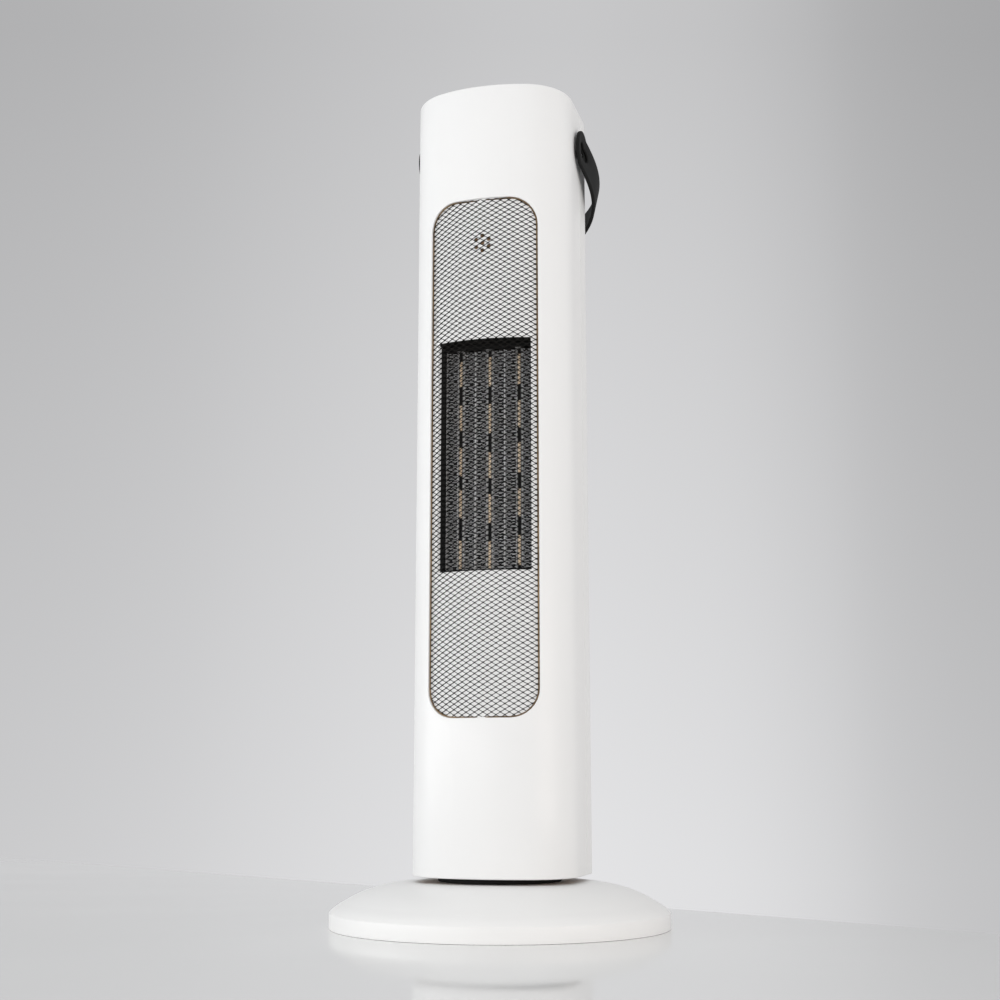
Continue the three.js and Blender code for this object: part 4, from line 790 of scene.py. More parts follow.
def diamond_tile(bm):
    """One diamond of strands whose inner edges tilt out of the sheet, as stretched metal's do."""
    half_x, half_z = DIAMOND_WIDTH / 2, DIAMOND_HEIGHT / 2
    places = ((half_x, 0, 0), (0, 0, half_z), (-half_x, 0, 0), (0, 0, -half_z))
    tile = bm.faces.new([bm.verts.new(place) for place in places])
    tile.normal_update()
    bmesh.ops.inset_individual(bm, faces=[tile], thickness=STRAND_WIDTH / 2)
    bmesh.ops.bevel(
        bm, geom=tile.verts[:], offset=STRAND_CORNER, segments=1, profile=0.5, affect="VERTICES", material=-1
    )
    hole = max(bm.faces, key=lambda face: len(face.verts))
    for vert in hole.verts:
        vert.co.y = STRAND_TIP_DEPTH + STRAND_TILT * vert.co.z / half_z
    bmesh.ops.delete(bm, geom=[hole], context="FACES_ONLY")


def trim_to_opening(bm):
    """Cuts the sheet along its four sides and in short straight cuts round its corners."""
    (left, right), (low, high), corner = opening_less(MESH_GAP)
    cuts = [((right, 0), (1, 0)), ((left, 0), (-1, 0)), ((0, high), (0, 1)), ((0, low), (0, -1))]
    for side in (-1, 1):
        for up, edge in ((-1, low), (1, high)):
            centre = (side * (right - corner), edge - up * corner)
            for i in range(1, MESH_CORNER_CUTS):
                turn = QUARTER * i / MESH_CORNER_CUTS
                way = (side * math.cos(turn), up * math.sin(turn))
                cuts.append(((centre[0] + corner * way[0], centre[1] + corner * way[1]), way))
    for (x, z), (way_x, way_z) in cuts:
        slice_at(bm, (x, 0, z), (way_x, 0, way_z), clear=True)


def mesh_grille():
    """One diamond is repeated over the opening, trimmed to its outline, given its thickness and bent."""
    bm = bmesh.new()
    diamond_tile(bm)
    copy_by(bm, everything(bm), (DIAMOND_WIDTH / 2, 0, DIAMOND_HEIGHT / 2))
    pair = everything(bm)
    for column in range(1, COLUMNS):
        copy_by(bm, pair, (column * DIAMOND_WIDTH, 0, 0))
    join_doubles(bm)
    band = everything(bm)
    for row in range(1, ROWS):
        copy_by(bm, band, (0, 0, row * DIAMOND_HEIGHT))
    join_doubles(bm)
    middle_z = (OPENING_LOW + OPENING_HIGH) / 2
    left = -(COLUMNS - 0.5) / 2 * DIAMOND_WIDTH
    bottom = middle_z - (ROWS - 0.5) / 2 * DIAMOND_HEIGHT
    bmesh.ops.translate(bm, vec=(left, MESH_DEPTH, bottom), verts=bm.verts[:])
    trim_to_opening(bm)
    raised = bmesh.ops.extrude_face_region(bm, geom=bm.faces[:], use_keep_orig=True)["geom"]
    bmesh.ops.translate(bm, vec=(0, STRAND_WALL, 0), verts=only_verts(raised))
    turn_outwards(bm)
    count = len(bm.faces)
    gaps = (MESH_RIM_GAP, MESH_RIM_INSIDE)
    outside, inside = [("rectangle", opening_less(gap), MESH_RIM_EDGE) for gap in gaps]
    add_to(bm, plate(MESH_RIM_DEPTHS, outside, [inside], round_steps=2))
    # The mesh rim is painted bronze, as a warm glint along its edge
    paint(bm, count, 1)
    for vert in bm.verts:
        vert.co.x = front_run_at(vert.co.x)
        x, y = around(vert.co.x, vert.co.y)
        vert.co = (x, y, vert.co.z)
    finish_piece("mesh_strands", bm, [LOOKS["mesh_metal"], LOOKS["bronze_painted_glint"]], "tower",
                 ["mesh_grille"], crease=40)


# Heating element

ROW_PITCH = 25.4
ELEMENT = (287.8, 474.8)
ELEMENT_FRONT, ELEMENT_REAR = -31.9, -19.9
# Upper and lower end of each stone, in the left, middle and right row
STONES = [
    ((466.4, 444.5), (428.0, 406.3), (391.6, 367.6), (355.7, 331.9), (312.6, 289.1)),
    ((468.7, 443.4), (427.8, 402.9), (386.6, 364.5), (350.9, 326.5), (311.4, 288.1)),
    ((470.1, 443.3), (429.5, 406.3), (393.5, 368.1), (354.6, 331.1), (315.3, 290.4)),
]
STONE_HALF, STONE_DEPTH, STONE_EDGE, STONE_FLOOR = 1.1, 2, 0.3, 288.5
CORE_HALF, CORE_SETBACK, CORE_EDGE = 1.4, 0.9, 0.2
RAIL_REACH, RAIL_WALL, RAIL_SETBACK, RAIL_EDGE = 1.9, 0.35, 0.2, 0.1

FIN_NEAR, FIN_FAR, FIN_END_GAP = 2.5, 12.6, 0.3
FIN_PLATE_WALL, FIN_PLATE_LEAD, FIN_PLATE_EDGE = 0.25, 0.2, 0.1
FOLDS, FOIL_WALL, FOIL_GAP, FOIL_FIT = 72, 0.27, 0.15, 0.997
# The side and the share of its height at which each corner of a fold lies
FOLD_SIDES, FOLD_SHARES = (-1, 1, 1, -1), (0.12, 0.38, 0.62, 0.88)
# The foil's front edges, painted bright as a glint, are the faces whose normal points forward past this; the
# rest are painted near-black as shade
FOIL_FRONT_FACING = -0.7

TAB_HALF, TAB_DEPTHS, TAB_HEIGHTS, TAB_EDGE = 3.0, (-34.4, -32.9), (473.6, 478.2), 0.5
# The rivet's outline, as radius and depth from its place
RIVET = [(0, -0.9), (1.0, -0.8), (1.5, -0.2), (1.6, 0.4), (0, 0.4)]
RIVET_Y, RIVET_Z = -34.6, 475.9


def ceramic_rows():
    """A black core between two rails, with the stones in front of it, three times."""
    for index, stones in enumerate(STONES):
        x = (index - 1) * ROW_PITCH
        bm = bmesh.new()
        core_depths = (ELEMENT_FRONT + CORE_SETBACK, ELEMENT_REAR)
        soft_block(bm, (x - CORE_HALF, x + CORE_HALF), core_depths, ELEMENT, CORE_EDGE)
        count = len(bm.faces)
        stone_depths = (ELEMENT_FRONT, ELEMENT_FRONT + STONE_DEPTH)
        for high, low in stones:
            heights = (max(low, STONE_FLOOR), high)
            soft_block(bm, (x - STONE_HALF, x + STONE_HALF), stone_depths, heights, STONE_EDGE)
        paint(bm, count, 1)
        count = len(bm.faces)
        rail_depths = (ELEMENT_FRONT + RAIL_SETBACK, ELEMENT_REAR)
        for edge in (x - RAIL_REACH, x + RAIL_REACH - RAIL_WALL):
            soft_block(bm, (edge, edge + RAIL_WALL), rail_depths, ELEMENT, RAIL_EDGE, segments=1)
        paint(bm, count, 2)
        # The rails' foil is painted dim, as shade
        looks = [LOOKS["deep_black"], LOOKS["ceramic"], LOOKS["foil_painted_shade"]]
        finish_piece(f"ceramic_stones_{index + 1}", bm, looks, "tower",
                     [f"ceramic_row_{index + 1}"])


def folded_foil(near, far, low, high):
    """Foil folded to and fro between two plates, its front edges painted bright as a glint and the faces
    between them painted near-black as shade.
    """
    bm = bmesh.new()
    middle = (near + far) / 2
    rows = FOLDS * len(FOLD_SHARES)
    place = (
        Matrix.Translation((middle, (ELEMENT_FRONT + ELEMENT_REAR) / 2, (low + high) / 2))
        @ Matrix.Rotation(QUARTER, 4, "Y")
        @ Matrix.Diagonal((high - low, ELEMENT_REAR - ELEMENT_FRONT, 1, 1))
    )
    bmesh.ops.create_grid(bm, x_segments=rows, y_segments=1, size=0.5, matrix=place)
    reach = (far - near) / 2 - FIN_PLATE_WALL - FOIL_GAP
    fold_height = (high - low) / FOLDS
    for vert in bm.verts:
        row = round((vert.co.z - low) / (high - low) * rows)
        fold, phase = divmod(row, len(FOLD_SHARES))
        vert.co.x = middle + FOLD_SIDES[phase] * reach
        vert.co.z = low + (fold + FOLD_SHARES[phase]) * fold_height * FOIL_FIT
    turn_outwards(bm)
    bmesh.ops.solidify(bm, geom=bm.faces[:], thickness=FOIL_WALL)
    turn_outwards(bm)
    # Forward faces get the painted glint, all others the painted shade
    for face in bm.faces:
        face.material_index = 0 if face.normal.y < FOIL_FRONT_FACING else 1
    return bm


def fin_columns():
    """A column of folded foil in its two plates on each side of each row of stones."""
    low, high = ELEMENT[0] + FIN_END_GAP, ELEMENT[1] - FIN_END_GAP
    plate_depths = (ELEMENT_FRONT - FIN_PLATE_LEAD, ELEMENT_REAR)
    for index in range(2 * len(STONES)):
        row_x = (index // 2 - 1) * ROW_PITCH
        side = 1 if index % 2 else -1
        near, far = sorted((row_x + side * FIN_NEAR, row_x + side * FIN_FAR))
        bm = folded_foil(near, far, low, high)
        for x in (near, far - FIN_PLATE_WALL):
            soft_block(bm, (x, x + FIN_PLATE_WALL), plate_depths, (low, high), FIN_PLATE_EDGE, segments=1)
        # The foil's painted glint and painted shade
        finish_piece(f"fin_foil_{index + 1}", bm, [LOOKS["fin_painted_glint"], LOOKS["fin_painted_shade"]], "tower",
                     [f"fin_column_{index + 1}"], crease=50)


def terminals():
    """Three tabs with a rivet, on the upper end frame."""
    for index in range(len(STONES)):
        x = (index - 1) * ROW_PITCH
        bm = bmesh.new()
        soft_block(bm, (x - TAB_HALF, x + TAB_HALF), TAB_DEPTHS, TAB_HEIGHTS, TAB_EDGE)
        add_to(bm, lathe(RIVET, steps=20, axis=(0, 1, 0), centre=(x, RIVET_Y, RIVET_Z)))
        finish_piece(f"terminal_tab_{index + 1}", bm, [LOOKS["dull_steel"]], "tower", ())


# Top

CAP_STEPS, BUTTON_HOLE_STEPS = 200, 40
# Height and inset of the cap's side, then height and radius or growth down its holes
CAP_SIDE = ((698.2, 2.9), (700.6, 2.9), (701.0, 3.0), (701.2, 3.4))
BUTTON_HOLE = ((701.2, 7.9), (700.9, 7.5), (700.5, 7.4), (698.2, 7.4))
LENS_HOLE = ((701.2, 0.25), (700.9, 0), (698.2, 0))
LENS_HOLE_HALF, LENS_HOLE_FRONT, LENS_HOLE_REAR, LENS_HOLE_CORNER = 24.3, 29.3, 10.7, 3.0
LENS_X, LENS_Y, LENS_Z, LENS_EDGE, LENS_CORNER = (-24, 24), (-29, -11), (699.4, 701.0), 0.25, 2.4
# Only the lens's four corner edges are this far out and rise more than this
LENS_CORNER_X, LENS_RISE = 23, 1

BUTTONS = ("power", "heat", "timer", "swing")
BUTTON_PITCH, BUTTON_Y = 24, 16
BUTTON_TOP, BUTTON_DISH, BUTTON_DISH_RADIUS = 702.2, 0.55, 5.6
BUTTON_DISH_RADII = (0.0, 1.4, 2.8, 4.2, 5.4)
# Rounded shoulder, side, flange and stem, as radius and height
BUTTON_SIDE = [
    (6.1, 702.2), (6.7, 702.0), (7.0, 701.5), (7.0, 697.9), (8.4, 697.9), (8.4, 694.9), (2.4, 694.9),
    (2.4, 692.0), (0, 692.0),
]


def button_x(index):
    return (index - 1.5) * BUTTON_PITCH


def cap_side(bm):
    loops = []
    for z, inset in CAP_SIDE:
        verts = bmesh.ops.create_circle(bm, cap_ends=False, segments=CAP_STEPS, radius=1)["verts"]
        for i, vert in enumerate(verts):
            x, y = around(2 * half_round * i / CAP_STEPS, inset)
            vert.co = (x, y, z)
        loops.append(edges_of(verts))
    return loops


def button_hole(bm, index):
    loops = []
    for z, radius in BUTTON_HOLE:
        place = Matrix.Translation((button_x(index), BUTTON_Y, z))
        loops.append(ring(bm, radius, BUTTON_HOLE_STEPS, place))
    return loops


def lens_hole(bm):
    """Loops of a rectangle laid flat, in front of the buttons."""
    flat = Matrix.Rotation(-QUARTER, 4, "X")
    loops = []
    for z, grow in LENS_HOLE:
        across = (-LENS_HOLE_HALF - grow, LENS_HOLE_HALF + grow)
        up = (LENS_HOLE_REAR - grow, LENS_HOLE_FRONT + grow)
        loop = rectangle(bm, across, up, LENS_HOLE_CORNER + grow, depth=0)
        verts = verts_of(loop)
        bmesh.ops.transform(bm, matrix=Matrix.Translation((0, 0, z)) @ flat, verts=verts)
        for vert in verts:
            vert.co.y = -abs(vert.co.y)
        loops.append(loop)
    return loops


def top_cap():
    bm = bmesh.new()
    side = cap_side(bm)
    bridge(bm, side)
    bottom, top = side[0], side[-1]
    for index in range(len(BUTTONS)):
        hole = button_hole(bm, index)
        bridge(bm, hole)
        top += hole[0]
        bottom += hole[-1]
    hole = lens_hole(bm)
    bridge(bm, hole)
    fill(bm, top + hole[0])
    fill(bm, bottom + hole[-1])
    turn_outwards(bm)
    finish_piece("top_panel", bm, [LOOKS["white_plastic"]], "tower", ["top_cap"])


def display_lens():
    bm = bmesh.new()
    soft_block(bm, LENS_X, LENS_Y, LENS_Z, LENS_EDGE)
    upright = []
    for edge in bm.edges:
        start, end = (vert.co for vert in edge.verts)
        if abs(start.z - end.z) > LENS_RISE and abs(start.x) > LENS_CORNER_X:
            upright.append(edge)
    bmesh.ops.bevel(
        bm, geom=upright, offset=LENS_CORNER, segments=6, profile=0.5, affect="EDGES", material=-1
    )
    finish_piece("display_window", bm, [LOOKS["smoke"]], "tower", ["display_lens"])


def buttons():
    """Four round caps with a shallow dish for the finger."""
    dish = []
    for radius in BUTTON_DISH_RADII:
        dish.append((radius, BUTTON_TOP - BUTTON_DISH * (1 - (radius / BUTTON_DISH_RADIUS) ** 2)))
    for index, name in enumerate(BUTTONS):
        cap = lathe([*dish, *BUTTON_SIDE], steps=48, centre=(button_x(index), BUTTON_Y, 0))
        finish_piece(f"button_{name}_cap", cap, [LOOKS["charcoal_plastic"]], f"button_{name}",
                     [f"button_{name}"])


# Strap handle

STRAP_WIDTH, STRAP_WALL = 38.0, 3.0
STRAP_LENGTH, STRAP_BOW, STRAP_CORNER = 90.0, 5.6, 57.0
STRAP_GAP = 2.2
STRAP_REST = math.radians(-37)
STRAP_EDGE, STRAP_BACK_ROUND, STRAP_END_SLACK = 1.0, 0.8, 0.01
PATH_STEPS = 24
BENDS, STRIPS, STRIP_WIDTH = 150, 8, 1.9
POCKET_HALF, POCKET_HALF_WIDTH, POCKET_CORNER, POCKET_EDGE = 9.5, 6.5, 6.4, 1.5
# How far round each pivot the pocket's faces are painted black, as shade in the recess
POCKET_SHADE_LENGTH, POCKET_SHADE_WIDTH = 11.05, 8.05
CUP_HALF, CUP_HALF_WIDTH, CUP_CORNER, CUP_EDGE = 11.9, 8.9, 8.8, 0.4
CUP_DEPTHS = (STRAP_WALL / 2 - 0.4, STRAP_WALL / 2 + 0.8)
CUP_HOLE_RADIUS, CUP_HOLE_EDGE = 4.3, 0.2
DISH_LENGTH, DISH_WIDTH, DISH_DEPTH, DISH_POWER = 17.0, 14.0, 1.2, 1.5
PIN_FOOT_HEIGHT, PIN_FOOT_RADIUS, PIN_RADIUS = 3, 7, 4
PIN_PLAY, PIN_REACH = 0.3, 2.3
# Radius, and height from the pin's end
PIN_TIP = ((4, -0.6), (3.5, -0.1), (2.0, 0), (1.2, -0.5), (0, -0.5))
strap_start = HALF_WIDTH + STRAP_GAP + STRAP_WALL / 2


def strap_path():
    """The strap's middle line in its own plane: a bowed arm out from one pivot, then a round corner."""
    arm = STRAP_LENGTH - STRAP_CORNER
    points = []
    for i in range(PATH_STEPS + 1):
        share = i / PATH_STEPS
        points.append(Vector((strap_start + STRAP_BOW * math.sin(QUARTER * share), arm * share)))
    middle = Vector((strap_start + STRAP_BOW - STRAP_CORNER, arm))
    for i in range(1, PATH_STEPS + 1):
        turn = QUARTER * i / PATH_STEPS
        points.append(middle + STRAP_CORNER * Vector((math.cos(turn), math.sin(turn))))
    return points


def length_marks(points):
    """How far along a line each of its points lies."""
    marks = [0.0]
    for near, far in zip(points, points[1:]):
        marks.append(marks[-1] + (far - near).length)
    return marks


def place_on(points, marks, run):
    """The place after a run along a line, and the way out from the line there, eased over its bends."""
    k = max(i for i in range(len(marks) - 1) if marks[i] <= run + 1e-9)
    share = (run - marks[k]) / (marks[k + 1] - marks[k])
    last = max(k, 1)
    before = (points[last] - points[last - 1]).normalized()
    here = (points[k + 1] - points[k]).normalized()
    after = points[min(k + 2, len(points) - 1)] - points[k + 1]
    after = after.normalized() if after.length else here
    heading = ((before + here) * (1 - share) + (here + after) * share).normalized()
    return points[k].lerp(points[k + 1], share), Vector((heading.y, -heading.x))


def flat_strap(pivots, low, high):
    """The strap laid flat, with round ends and an oval pocket at each pivot that a dark cup closes; the
    pocket's walls and rim and the cup are painted near-black as shade in the recess.
    """
    half = STRAP_WIDTH / 2
    outline = ("rectangle", ((low, high), (-half, half), half - STRAP_END_SLACK), STRAP_EDGE)
    pockets = []
    for pivot in pivots:
        across = (pivot - POCKET_HALF, pivot + POCKET_HALF)
        up = (-POCKET_HALF_WIDTH, POCKET_HALF_WIDTH)
        pockets.append(("rectangle", (across, up, POCKET_CORNER), POCKET_EDGE))
    depths = (-STRAP_WALL / 2, STRAP_WALL / 2)
    bm = plate(depths, outline, pockets, round_steps=4, back_round=STRAP_BACK_ROUND)
    # Faces round each pocket are painted near-black, as shade
    for pivot in pivots:
        for face in bm.faces:
            if all(abs(vert.co.x - pivot) < POCKET_SHADE_LENGTH and abs(vert.co.z) < POCKET_SHADE_WIDTH
                   for vert in face.verts):
                face.material_index = 1
    for pivot in pivots:
        across = (pivot - CUP_HALF, pivot + CUP_HALF)
        cup = ("rectangle", (across, (-CUP_HALF_WIDTH, CUP_HALF_WIDTH), CUP_CORNER), CUP_EDGE)
        hole = ("circle", (pivot, 0, CUP_HOLE_RADIUS), CUP_HOLE_EDGE)
        count = len(bm.faces)
        add_to(bm, plate(CUP_DEPTHS, cup, [hole], round_steps=2))
        paint(bm, count, 1)
    return bm


def handle():
    """The flat strap is scored, dished round its pockets and bent to its loop."""
    right = strap_path()
    left = [Vector((-point.x, point.y)) for point in reversed(right)]
    ends = [Vector((side * strap_start, -STRAP_WIDTH)) for side in (1, -1)]
    points = [ends[0], *right, *left, ends[1]]
    marks = length_marks(points)
    pivots = (STRAP_WIDTH, marks[-1] - STRAP_WIDTH)
    low, high = pivots[0] - STRAP_WIDTH / 2, pivots[1] + STRAP_WIDTH / 2
    bm = flat_strap(pivots, low, high)
    for i in range(1, BENDS):
        slice_at(bm, (low + (high - low) * i / BENDS, 0, 0), (1, 0, 0))
    for i in range(-STRIPS, STRIPS + 1):
        slice_at(bm, (0, 0, i * STRIP_WIDTH), (0, 0, 1))
    lay = Matrix.Translation((0, PIVOT_Y, PIVOT_Z)) @ Matrix.Rotation(STRAP_REST, 4, "X")
    for vert in bm.verts:
        for pivot in pivots:
            far = ((vert.co.x - pivot) / DISH_LENGTH) ** 2 + (vert.co.z / DISH_WIDTH) ** 2
            if far < 1 and vert.co.y < 0:
                vert.co.y *= 1 - DISH_DEPTH / (STRAP_WALL / 2) * (1 - far) ** DISH_POWER
        spot, outwards = place_on(points, marks, vert.co.x)
        flat = spot - outwards * vert.co.y
        vert.co = lay @ Vector((flat.x, flat.y, vert.co.z))
    turn_outwards(bm)
    finish_piece("handle_strap", bm, [LOOKS["charcoal_plastic"], LOOKS["deep_black"]], "handle", ["handle"])


def handle_pivots():
    """A pin through the shell at each side, with a wide foot inside and a dimple in its end."""
    inside, end = HALF_WIDTH - SHELL_WALL - PIN_PLAY, HALF_WIDTH + PIN_REACH
    foot = inside - PIN_FOOT_HEIGHT
    profile = [(0, foot), (PIN_FOOT_RADIUS, foot), (PIN_FOOT_RADIUS, inside), (PIN_RADIUS, inside)]
    profile += [(radius, end + height) for radius, height in PIN_TIP]
    for side, name in ((-1, "left"), (1, "right")):
        bm = lathe(profile, steps=36, axis=(side, 0, 0), centre=(0, PIVOT_Y, PIVOT_Z))
        finish_piece(f"handle_pin_{name}", bm, [LOOKS["black_plastic"]], "tower",
                     [f"handle_pivot_{name}"])


# Base, with each outline as radius and height, or along the cord for the bush

BASE_RIM = [(135.9, 1.0), (136.9, 1.0), (137.32, 1.14), (137.5, 1.55), (137.5, 12.6)]
SHOULDER = ((137.5, 13.3), (133.0, 18.2), (126.5, 21.2))
DOME = ((126.5, 21.2), (104.0, 35.9), (66.0, 37.0))
NECK_SEAT = [(31.0, 37.0), (30.4, 37.4), (30.4, 41.0), (22.4, 41.0), (22.4, 34.2)]
DOME_INSIDE = ((66.0, 34.2), (102.6, 33.1), (123.7, 18.4))
BASE_RIM_INSIDE = [(134.7, 10.2), (134.7, 1.0), (135.9, 1.0)]
CORD_Z = 7.1
CORD_HOLE_RADIUS, CORD_HOLE_LENGTH, CORD_HOLE_Y = 3.9, 20, 135
COLLAR = [(43.4, 37.3), (49.8, 37.3), (50.4, 37.8), (50.4, 42.3), (49.9, 42.8), (43.4, 42.8), (43.4, 37.3)]
BUSH = [
    (2.3, 131.9), (2.3, 136.7), (2.9, 137.2), (3.6, 137.2), (3.6, 134.0), (4.9, 134.0), (4.9, 131.9),
    (2.3, 131.9),
]
BUSH_FLAT_Z = 4.5


def cord_drill():
    hole = bmesh.new()
    place = Matrix.Translation((0, CORD_HOLE_Y, CORD_Z)) @ Matrix.Rotation(QUARTER, 4, "X")
    bmesh.ops.create_cone(
        hole, cap_ends=True, segments=32, radius1=CORD_HOLE_RADIUS, radius2=CORD_HOLE_RADIUS,
        depth=CORD_HOLE_LENGTH, matrix=place,
    )
    return new_object("drill", hole)


def base_cover():
    """The turned dome with its rim, drilled for the cord."""
    profile = [
        *BASE_RIM, *curve_points(*SHOULDER, steps=8), *curve_points(*DOME, steps=28)[1:], *NECK_SEAT,
        *curve_points(*DOME_INSIDE, steps=16), *BASE_RIM_INSIDE,
    ]
    uncut = new_object("uncut", lathe(profile, steps=160))
    drill = cord_drill()
    cut = uncut.modifiers.new("cord_hole", "BOOLEAN")
    cut.operation, cut.object, cut.solver = "DIFFERENCE", drill, "EXACT"
    drilled = bmesh.new()
    drilled.from_object(uncut, bpy.context.evaluated_depsgraph_get())
    for item in (uncut, drill):
        bpy.data.objects.remove(item)
    finish_piece("base_dome", drilled, [LOOKS["base_white"]], "base", ["base_cover"],
                 crease=26)


def neck_ring():
    finish_piece("neck_collar", lathe(COLLAR, steps=120), [LOOKS["deep_black"]], "base", ["neck_ring"])


def cord_inlet():
    """A turned bush that is cut flat where it meets the base plate."""
    bm = lathe(BUSH, steps=36, axis=(0, 1, 0), centre=(0, 0, CORD_Z))
    slice_at(bm, (0, 0, BUSH_FLAT_Z), (0, 0, -1), clear=True)
    bmesh.ops.holes_fill(bm, edges=[edge for edge in bm.edges if edge.is_boundary])
    turn_outwards(bm)
    finish_piece("cord_inlet_bush", bm, [LOOKS["rubber"]], "base", ["cord_bush"])


front_shell()
rear_shell()
rear_grille()
inner_panel()
mesh_grille()
ceramic_rows()
fin_columns()
terminals()
top_cap()
display_lens()
buttons()
handle()
handle_pivots()
base_cover()
neck_ring()
cord_inlet()


# Table, backdrop, light and camera, in metres

# The table's far corner and two points on its far edges, out of view, then its near corners
TABLE = ((1.5672, -0.6315), (0.1065, 0.2079), (-2.4935, 1.7013), (-3.2, -3.5), (3.0, -3.5))
TABLE_Z = 0.0009
# The table is painted lighter on the left and darker on the right, as painted light falling off across it
TABLE_LIT_LEFT_TONE, TABLE_SHADED_RIGHT_TONE = (0.88, 0.88, 0.875), (0.80, 0.80, 0.80)
TABLE_GLOSS = (0.05, 0.09)
TABLE_FALLOFF_REACH = 0.6

BACKDROP_AT, BACKDROP_HALF = (-0.60, 2.05, 0.6), 4.0
BACKDROP_TURN = math.radians(16.353)
BACKDROP_TINT = (0.985, 0.985, 1.0, 1)
BACKDROP_REACH = 1.25
BACKDROP_TOP, BACKDROP_FOOT, BACKDROP_TOP_SHARE = 1.9, -0.1, 0.74
# Brightness across the part of the backdrop that is in view
BACKDROP_CURVE = (
    (0.0, 0.60), (0.20, 0.645), (0.31, 0.70), (0.42, 0.745), (0.56, 0.785), (0.66, 0.765), (0.72, 0.745),
    (0.80, 0.68), (0.88, 0.59), (1.0, 0.54),
)

WORLD_COLOUR, WORLD_STRENGTH = (0.98, 0.99, 1.0, 1), 0.755
WHITE, WARM = (1, 1, 1), (1.0, 0.90, 0.83)
# Each lamp's name, place, aim, size, power and colour
LAMPS = (
    ("key", (-1.3, -2.5, 0.18), (0, 0, 0.26), (2.0, 0.34), 11.8, WHITE),
    ("side", (-2.2, -1.2, 0.18), (0, 0, 0.16), (1.6, 0.34), 14, WHITE),
    ("fill", (1.9, -1.2, 0.18), (0, 0, 0.22), (1.6, 0.34), 10.0, WARM),
)

CAMERA_AT = (0.335152, -1.208521, 0.118189)
CAMERA_UP, CAMERA_TURN = math.radians(90 + 10.541), math.radians(15.5)
CAMERA_LENS, CAMERA_SENSOR = 54.0, 36.0
CAMERA_NEAR, CAMERA_FAR = 0.05, 50.0


def table_top():
    bm = bmesh.new()
    top = bm.faces.new([bm.verts.new((x, y, TABLE_Z)) for x, y in TABLE])
    top.normal_update()
    if top.normal.z < 0:
        top.normal_flip()
    table = new_object("table_top", bm)
    look, tree, shader = new_look("table_lacquer", Specular_IOR_Level=0.58)
    place = node(tree, "ShaderNodeTexCoord")
    parts = node(tree, "ShaderNodeSeparateXYZ")
    tree.links.new(place.outputs["Object"], parts.inputs["Vector"])
    # Painted light falloff from left to right
    across = spread(tree, parts.outputs["X"], -TABLE_FALLOFF_REACH, TABLE_FALLOFF_REACH)
    two_tones(tree, shader, across, TABLE_LIT_LEFT_TONE, TABLE_SHADED_RIGHT_TONE)
    cloud = noise(tree, 3.0, detail=2.0, roughness=0.55)
    gloss = spread(tree, cloud.outputs["Fac"], *SHEEN_RANGE, *TABLE_GLOSS)
    tree.links.new(gloss, shader.inputs["Roughness"])
    table.data.materials.append(look)


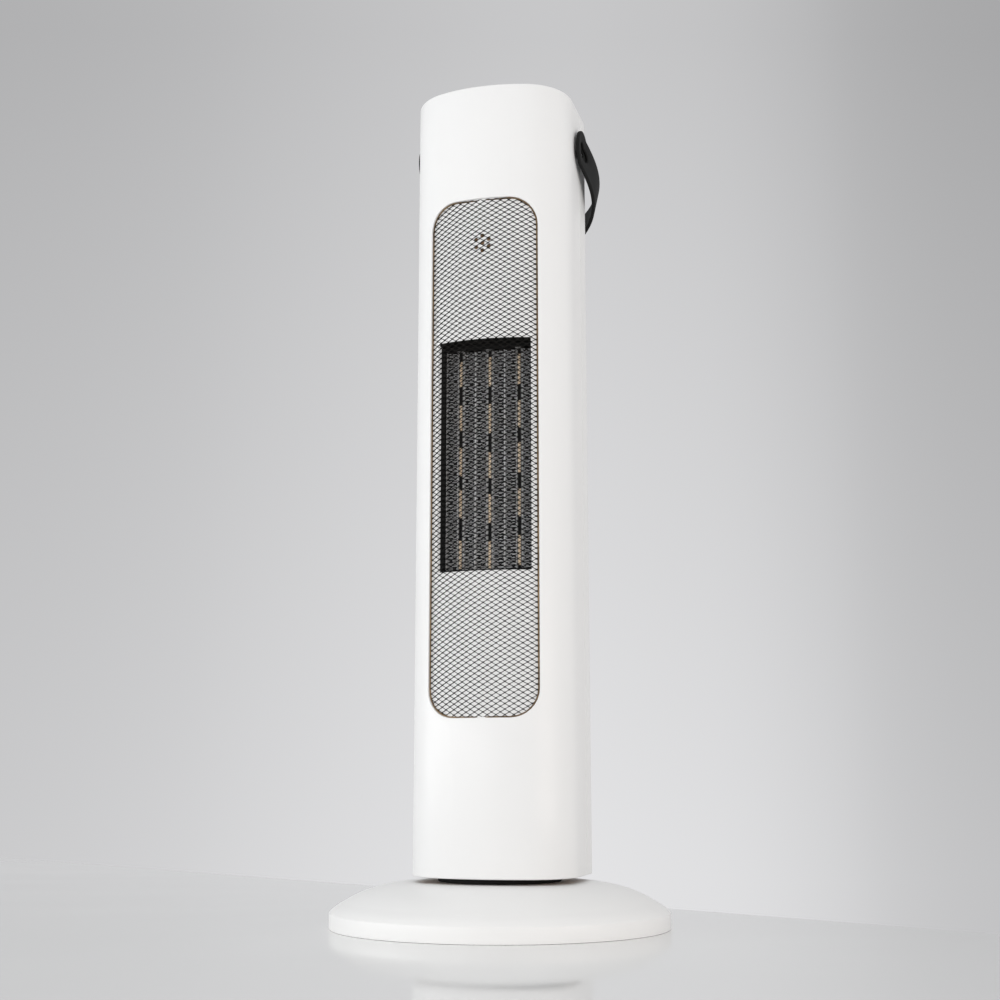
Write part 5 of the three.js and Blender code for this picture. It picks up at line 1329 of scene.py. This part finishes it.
def paper():
    """A glow that is brightest low in the middle, as on a photographer's background."""
    look = bpy.data.materials.new("backdrop_paper")
    look.use_nodes = True
    tree = look.node_tree
    tree.nodes.clear()
    place = node(tree, "ShaderNodeTexCoord")
    mapping = node(tree, "ShaderNodeMapping", {"Rotation": (0, 0, -BACKDROP_TURN)}, vector_type="POINT")
    parts = node(tree, "ShaderNodeSeparateXYZ")
    tree.links.new(place.outputs["Object"], mapping.inputs["Vector"])
    tree.links.new(mapping.outputs["Vector"], parts.inputs["Vector"])
    across = node(tree, "ShaderNodeFloatCurve")
    curve = across.mapping.curves[0]
    curve.points[0].location, curve.points[1].location = BACKDROP_CURVE[0], BACKDROP_CURVE[-1]
    for at in BACKDROP_CURVE[1:-1]:
        curve.points.new(*at)
    across.mapping.update()
    in_view = spread(tree, parts.outputs["X"], -BACKDROP_REACH, BACKDROP_REACH)
    tree.links.new(in_view, across.inputs["Value"])
    both = node(tree, "ShaderNodeMath", operation="MULTIPLY")
    tree.links.new(across.outputs["Value"], both.inputs[0])
    up = spread(tree, parts.outputs["Z"], BACKDROP_TOP, BACKDROP_FOOT, BACKDROP_TOP_SHARE, 1.0)
    tree.links.new(up, both.inputs[1])
    tint = node(tree, "ShaderNodeMix", data_type="RGBA", blend_type="MULTIPLY")
    tint.inputs["Factor"].default_value = 1
    tint.inputs["B"].default_value = BACKDROP_TINT
    tree.links.new(both.outputs["Value"], tint.inputs["A"])
    glow = node(tree, "ShaderNodeEmission")
    out = node(tree, "ShaderNodeOutputMaterial")
    tree.links.new(tint.outputs["Result"], glow.inputs["Color"])
    tree.links.new(glow.outputs["Emission"], out.inputs["Surface"])
    return look


def backdrop():
    """A tall plain sheet far behind, square to the view."""
    bm = bmesh.new()
    place = (
        Matrix.Translation(BACKDROP_AT)
        @ Matrix.Rotation(BACKDROP_TURN, 4, "Z")
        @ Matrix.Rotation(QUARTER, 4, "X")
    )
    bmesh.ops.create_grid(bm, x_segments=1, y_segments=1, size=BACKDROP_HALF, matrix=place)
    sheet = new_object("backdrop", bm)
    sheet.data.materials.append(paper())


def lamp(name, at, aim, size, power, tint):
    data = bpy.data.lights.new(name, "AREA")
    data.shape, data.size, data.size_y = "RECTANGLE", *size
    data.energy, data.color = power, tint
    made = bpy.data.objects.new(name, data)
    made.location = at
    made.rotation_mode = "QUATERNION"
    made.rotation_quaternion = (Vector(aim) - Vector(at)).to_track_quat("-Z", "Y")
    bpy.context.scene.collection.objects.link(made)


table_top()
backdrop()

world = bpy.data.worlds.new("studio")
world.use_nodes = True
world.node_tree.nodes["Background"].inputs["Color"].default_value = WORLD_COLOUR
world.node_tree.nodes["Background"].inputs["Strength"].default_value = WORLD_STRENGTH
bpy.context.scene.world = world

for settings in LAMPS:
    lamp(*settings)

camera = bpy.data.objects.new("camera", bpy.data.cameras.new("camera"))
camera.data.lens, camera.data.sensor_width = CAMERA_LENS, CAMERA_SENSOR
camera.data.clip_start, camera.data.clip_end = CAMERA_NEAR, CAMERA_FAR
camera.location = CAMERA_AT
camera.rotation_euler = (CAMERA_UP, 0, CAMERA_TURN)
bpy.context.scene.collection.objects.link(camera)
bpy.context.scene.camera = camera
bpy.context.scene.view_settings.view_transform = "Standard"
